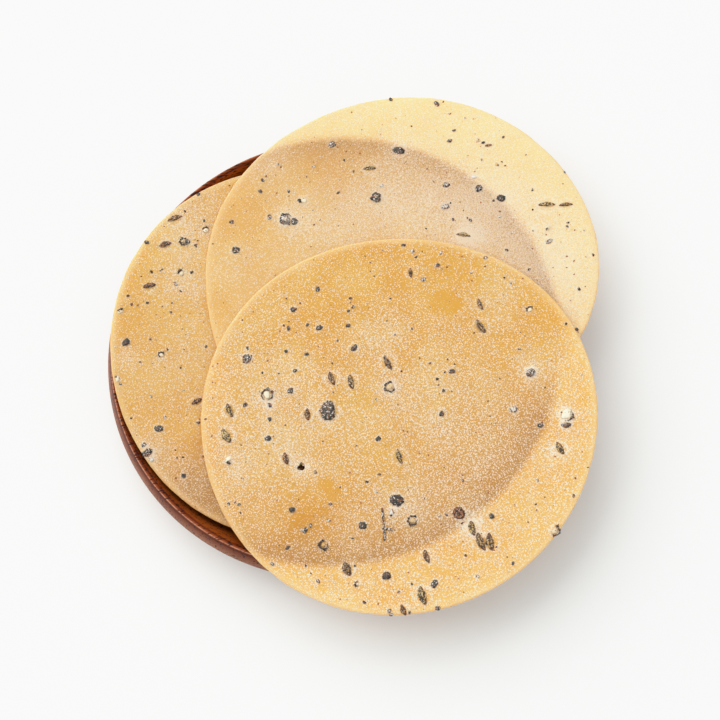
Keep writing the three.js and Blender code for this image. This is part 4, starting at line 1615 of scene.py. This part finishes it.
# %% Strewn grains of flour
GRAINS_PER_FACE = 9000
GRAIN_SIZES = (0.2, 0.5)
GRAIN_CORNERS = np.array([(1, 0, 0), (0, 1, 0), (-1, 0, 0), (0, -1, 0), (0, 0, 1), (0, 0, -1)])
GRAIN_FACES = [(0, 1, 4), (1, 2, 4), (2, 3, 4), (3, 0, 4), (1, 0, 5), (2, 1, 5), (3, 2, 5), (0, 3, 5)]
GRAIN_FLATNESS = 0.4
GRAIN_CONTRAST = 1.5  # the higher, the fewer grains lie where the flour is thin

flour = Heap("flour_grains")


def strew_flour(sheet):
    """Strews grains over a sheet's upper face, more where the flour lies thick."""
    x, y = strewn(sheet, GRAINS_PER_FACE, 1)
    kept = random.uniform(0, 1, len(x)) < flour_at(sheet, x, y) ** GRAIN_CONTRAST
    x = x[kept]
    y = y[kept]
    ground = lift(sheet, x, y) + ripple(sheet, x, y) + swelling(sheet, x, y) + HALF_SHEET
    small, large = GRAIN_SIZES
    size = small + (large - small) * random.uniform(0, 1, len(x)) ** 2
    turn = random.uniform(0, 2 * math.pi, len(x))
    stretch = random.uniform(0.5, 1, len(x))
    for grain in range(len(x)):
        half = size[grain] / 2
        body = GRAIN_CORNERS * (half, half * stretch[grain], half * GRAIN_FLATNESS)
        cosine = math.cos(turn[grain])
        sine = math.sin(turn[grain])
        spun = body @ np.array([(cosine, sine, 0), (-sine, cosine, 0), (0, 0, 1)])
        flour.add(to_stack(sheet, spun + (x[grain], y[grain], ground[grain])), GRAIN_FACES)


for sheet in SHEETS:
    strew_flour(sheet)
print("flour points:", flour.count)

# %% [markdown]
# ## Finishes of the spices
# Black pepper is never plain black: its skin is a brown black that shines a little on the
# wrinkles, and flour sits in the folds. Fine noise puts the flour there, more of it where the
# stored tone is high. Cumin is coloured by its ridges. The specks run from black to the
# reddish brown of husk, so their tone picks a place between the two.

# %% Skin and core of pepper
SKIN_BLACK = srgb(24, 27, 27)
SKIN_GREY = srgb(88, 80, 70)
SKIN_FLECK = srgb(140, 88, 52)
OPEN_BROWN = srgb(118, 86, 64)
OPEN_PALE = srgb(228, 214, 190)
FOLD_FLOUR = srgb(226, 220, 210)
CORE_GOLD = srgb(196, 142, 58)
CORE_PALE = srgb(246, 232, 200)
CORE_MEAL = srgb(252, 244, 226)
CORE_CRUMB = srgb(92, 66, 50)


def pepper_skin():
    finish = Finish("black_pepper_skin", Roughness=0.6)
    tone = finish.mark("tone")
    fold = finish.grain(0.5, detail=3)
    blotch = finish.grain(1.1, detail=1)
    skin = finish.blend(finish.between(finish.grain(0.7), 0.35, 0.65), SKIN_BLACK, SKIN_GREY)
    open_share = finish.sum((finish.mark("middle"), 0.5), (blotch, 0.8), (tone, 1))
    inside = finish.blend(tone, OPEN_BROWN, OPEN_PALE)
    colour = finish.blend(finish.between(open_share, 1.2, 1.35), skin, inside)
    fleck = finish.sum((finish.grain(0.7, detail=1, twist=0.5), 1), (tone, 0.2))
    colour = finish.blend(finish.between(fleck, 0.62, 0.68, 0, 0.8), colour, SKIN_FLECK)
    flour_level = finish.sum((finish.grain(0.45, detail=1), 1), (tone, 0.3))
    colour = finish.blend(finish.between(flour_level, 0.67, 0.73, 0, 0.85), colour, FOLD_FLOUR)
    return finish.show(colour, height=fold, depth=0.15)


def pepper_core():
    finish = Finish("pepper_core", Roughness=0.7)
    mealy = finish.grain(0.4, detail=3)
    body = finish.blend(finish.mark("tone"), CORE_GOLD, CORE_PALE)
    colour = finish.blend(finish.between(mealy, 0.5, 0.75, 0, 0.45), body, CORE_MEAL)
    crumb = finish.between(finish.grain(0.55, detail=1), 0.62, 0.68, 0, 0.8)
    return finish.show(finish.blend(crumb, colour, CORE_CRUMB), height=mealy, depth=0.1)


# %% Seed coat, husk and flour
RIDGE_BROWN = srgb(158, 96, 54)
RIDGE_PALE = srgb(208, 180, 112)
FURROW_DARK = srgb(46, 32, 24)
TIP_RED = srgb(124, 62, 34)
SEED_DUST = srgb(222, 204, 172)
HUSK_BLACK = srgb(40, 30, 28)
HUSK_RED = srgb(176, 100, 54)
HUSK_DUST = srgb(176, 150, 128)
GRAIN_CREAM = srgb(248, 232, 212)
GRAIN_WHITE = srgb(255, 248, 238)


def seed_coat():
    finish = Finish("cumin_seed_coat", Roughness=0.6)
    ridge = finish.mark("ridge")
    crust = finish.grain(0.38, detail=1)
    mottle = finish.grain(0.7, detail=2)
    top = finish.blend(finish.mark("tone"), RIDGE_BROWN, RIDGE_PALE)
    level = finish.sum((mottle, 1), (ridge, 0.24), (crust, 1.2))
    colour = finish.blend(finish.between(level, 1.22, 1.42), FURROW_DARK, top)
    colour = finish.blend(finish.between(ridge, 0.1, -0.35, 0, 0.85), colour, TIP_RED)
    dust = finish.between(finish.grain(0.42, detail=1), 0.6, 0.68, 0, 0.6)
    return finish.show(finish.blend(dust, colour, SEED_DUST), height=crust, depth=0.1)


def speck_husk():
    finish = Finish("speck_husk", Roughness=0.6)
    crust = finish.grain(0.3, detail=2)
    colour = finish.blend(finish.mark("tone"), HUSK_BLACK, HUSK_RED)
    colour = finish.blend(finish.between(crust, 0.5, 0.8, 0, 0.4), colour, HUSK_DUST)
    return finish.show(colour, height=crust, depth=0.06)


def flour_white():
    finish = Finish("loose_flour", Roughness=0.9, Subsurface_Weight=0.3, Subsurface_Scale=0.2 * MM)
    return finish.show(finish.blend(finish.grain(0.5), GRAIN_CREAM, GRAIN_WHITE))


# %% Hand the spices over
skin_finish = pepper_skin()
hand_over(peppercorns.build(), skin_finish, "black_pepper")
hand_over(stalk.build(), skin_finish, "black_pepper")
hand_over(bits.build(), skin_finish, "black_pepper")
hand_over(cores.build(), pepper_core(), "pepper_core")
hand_over(seeds.build(), seed_coat(), "cumin_seed")
hand_over(specks.build(), speck_husk(), "cumin_seed")
hand_over(flour.build(), flour_white(), "papadum_dough")

# %% [markdown]
# ## Measure and finish
# The last step prints the box of the dressed stack beside the box of the plain solids. They
# should agree within a fraction of a millimetre, since everything was built on the same sizes.

# %% Measure and finish
visual_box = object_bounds()
boxes = {
    "cad": [list(corner) for corner in cad_box],
    "visual": [list(corner) for corner in visual_box],
}
for plain, dressed in zip(*boxes.values()):
    print("plain", [round(v / MM, 2) for v in plain], "dressed", [round(v / MM, 2) for v in dressed])
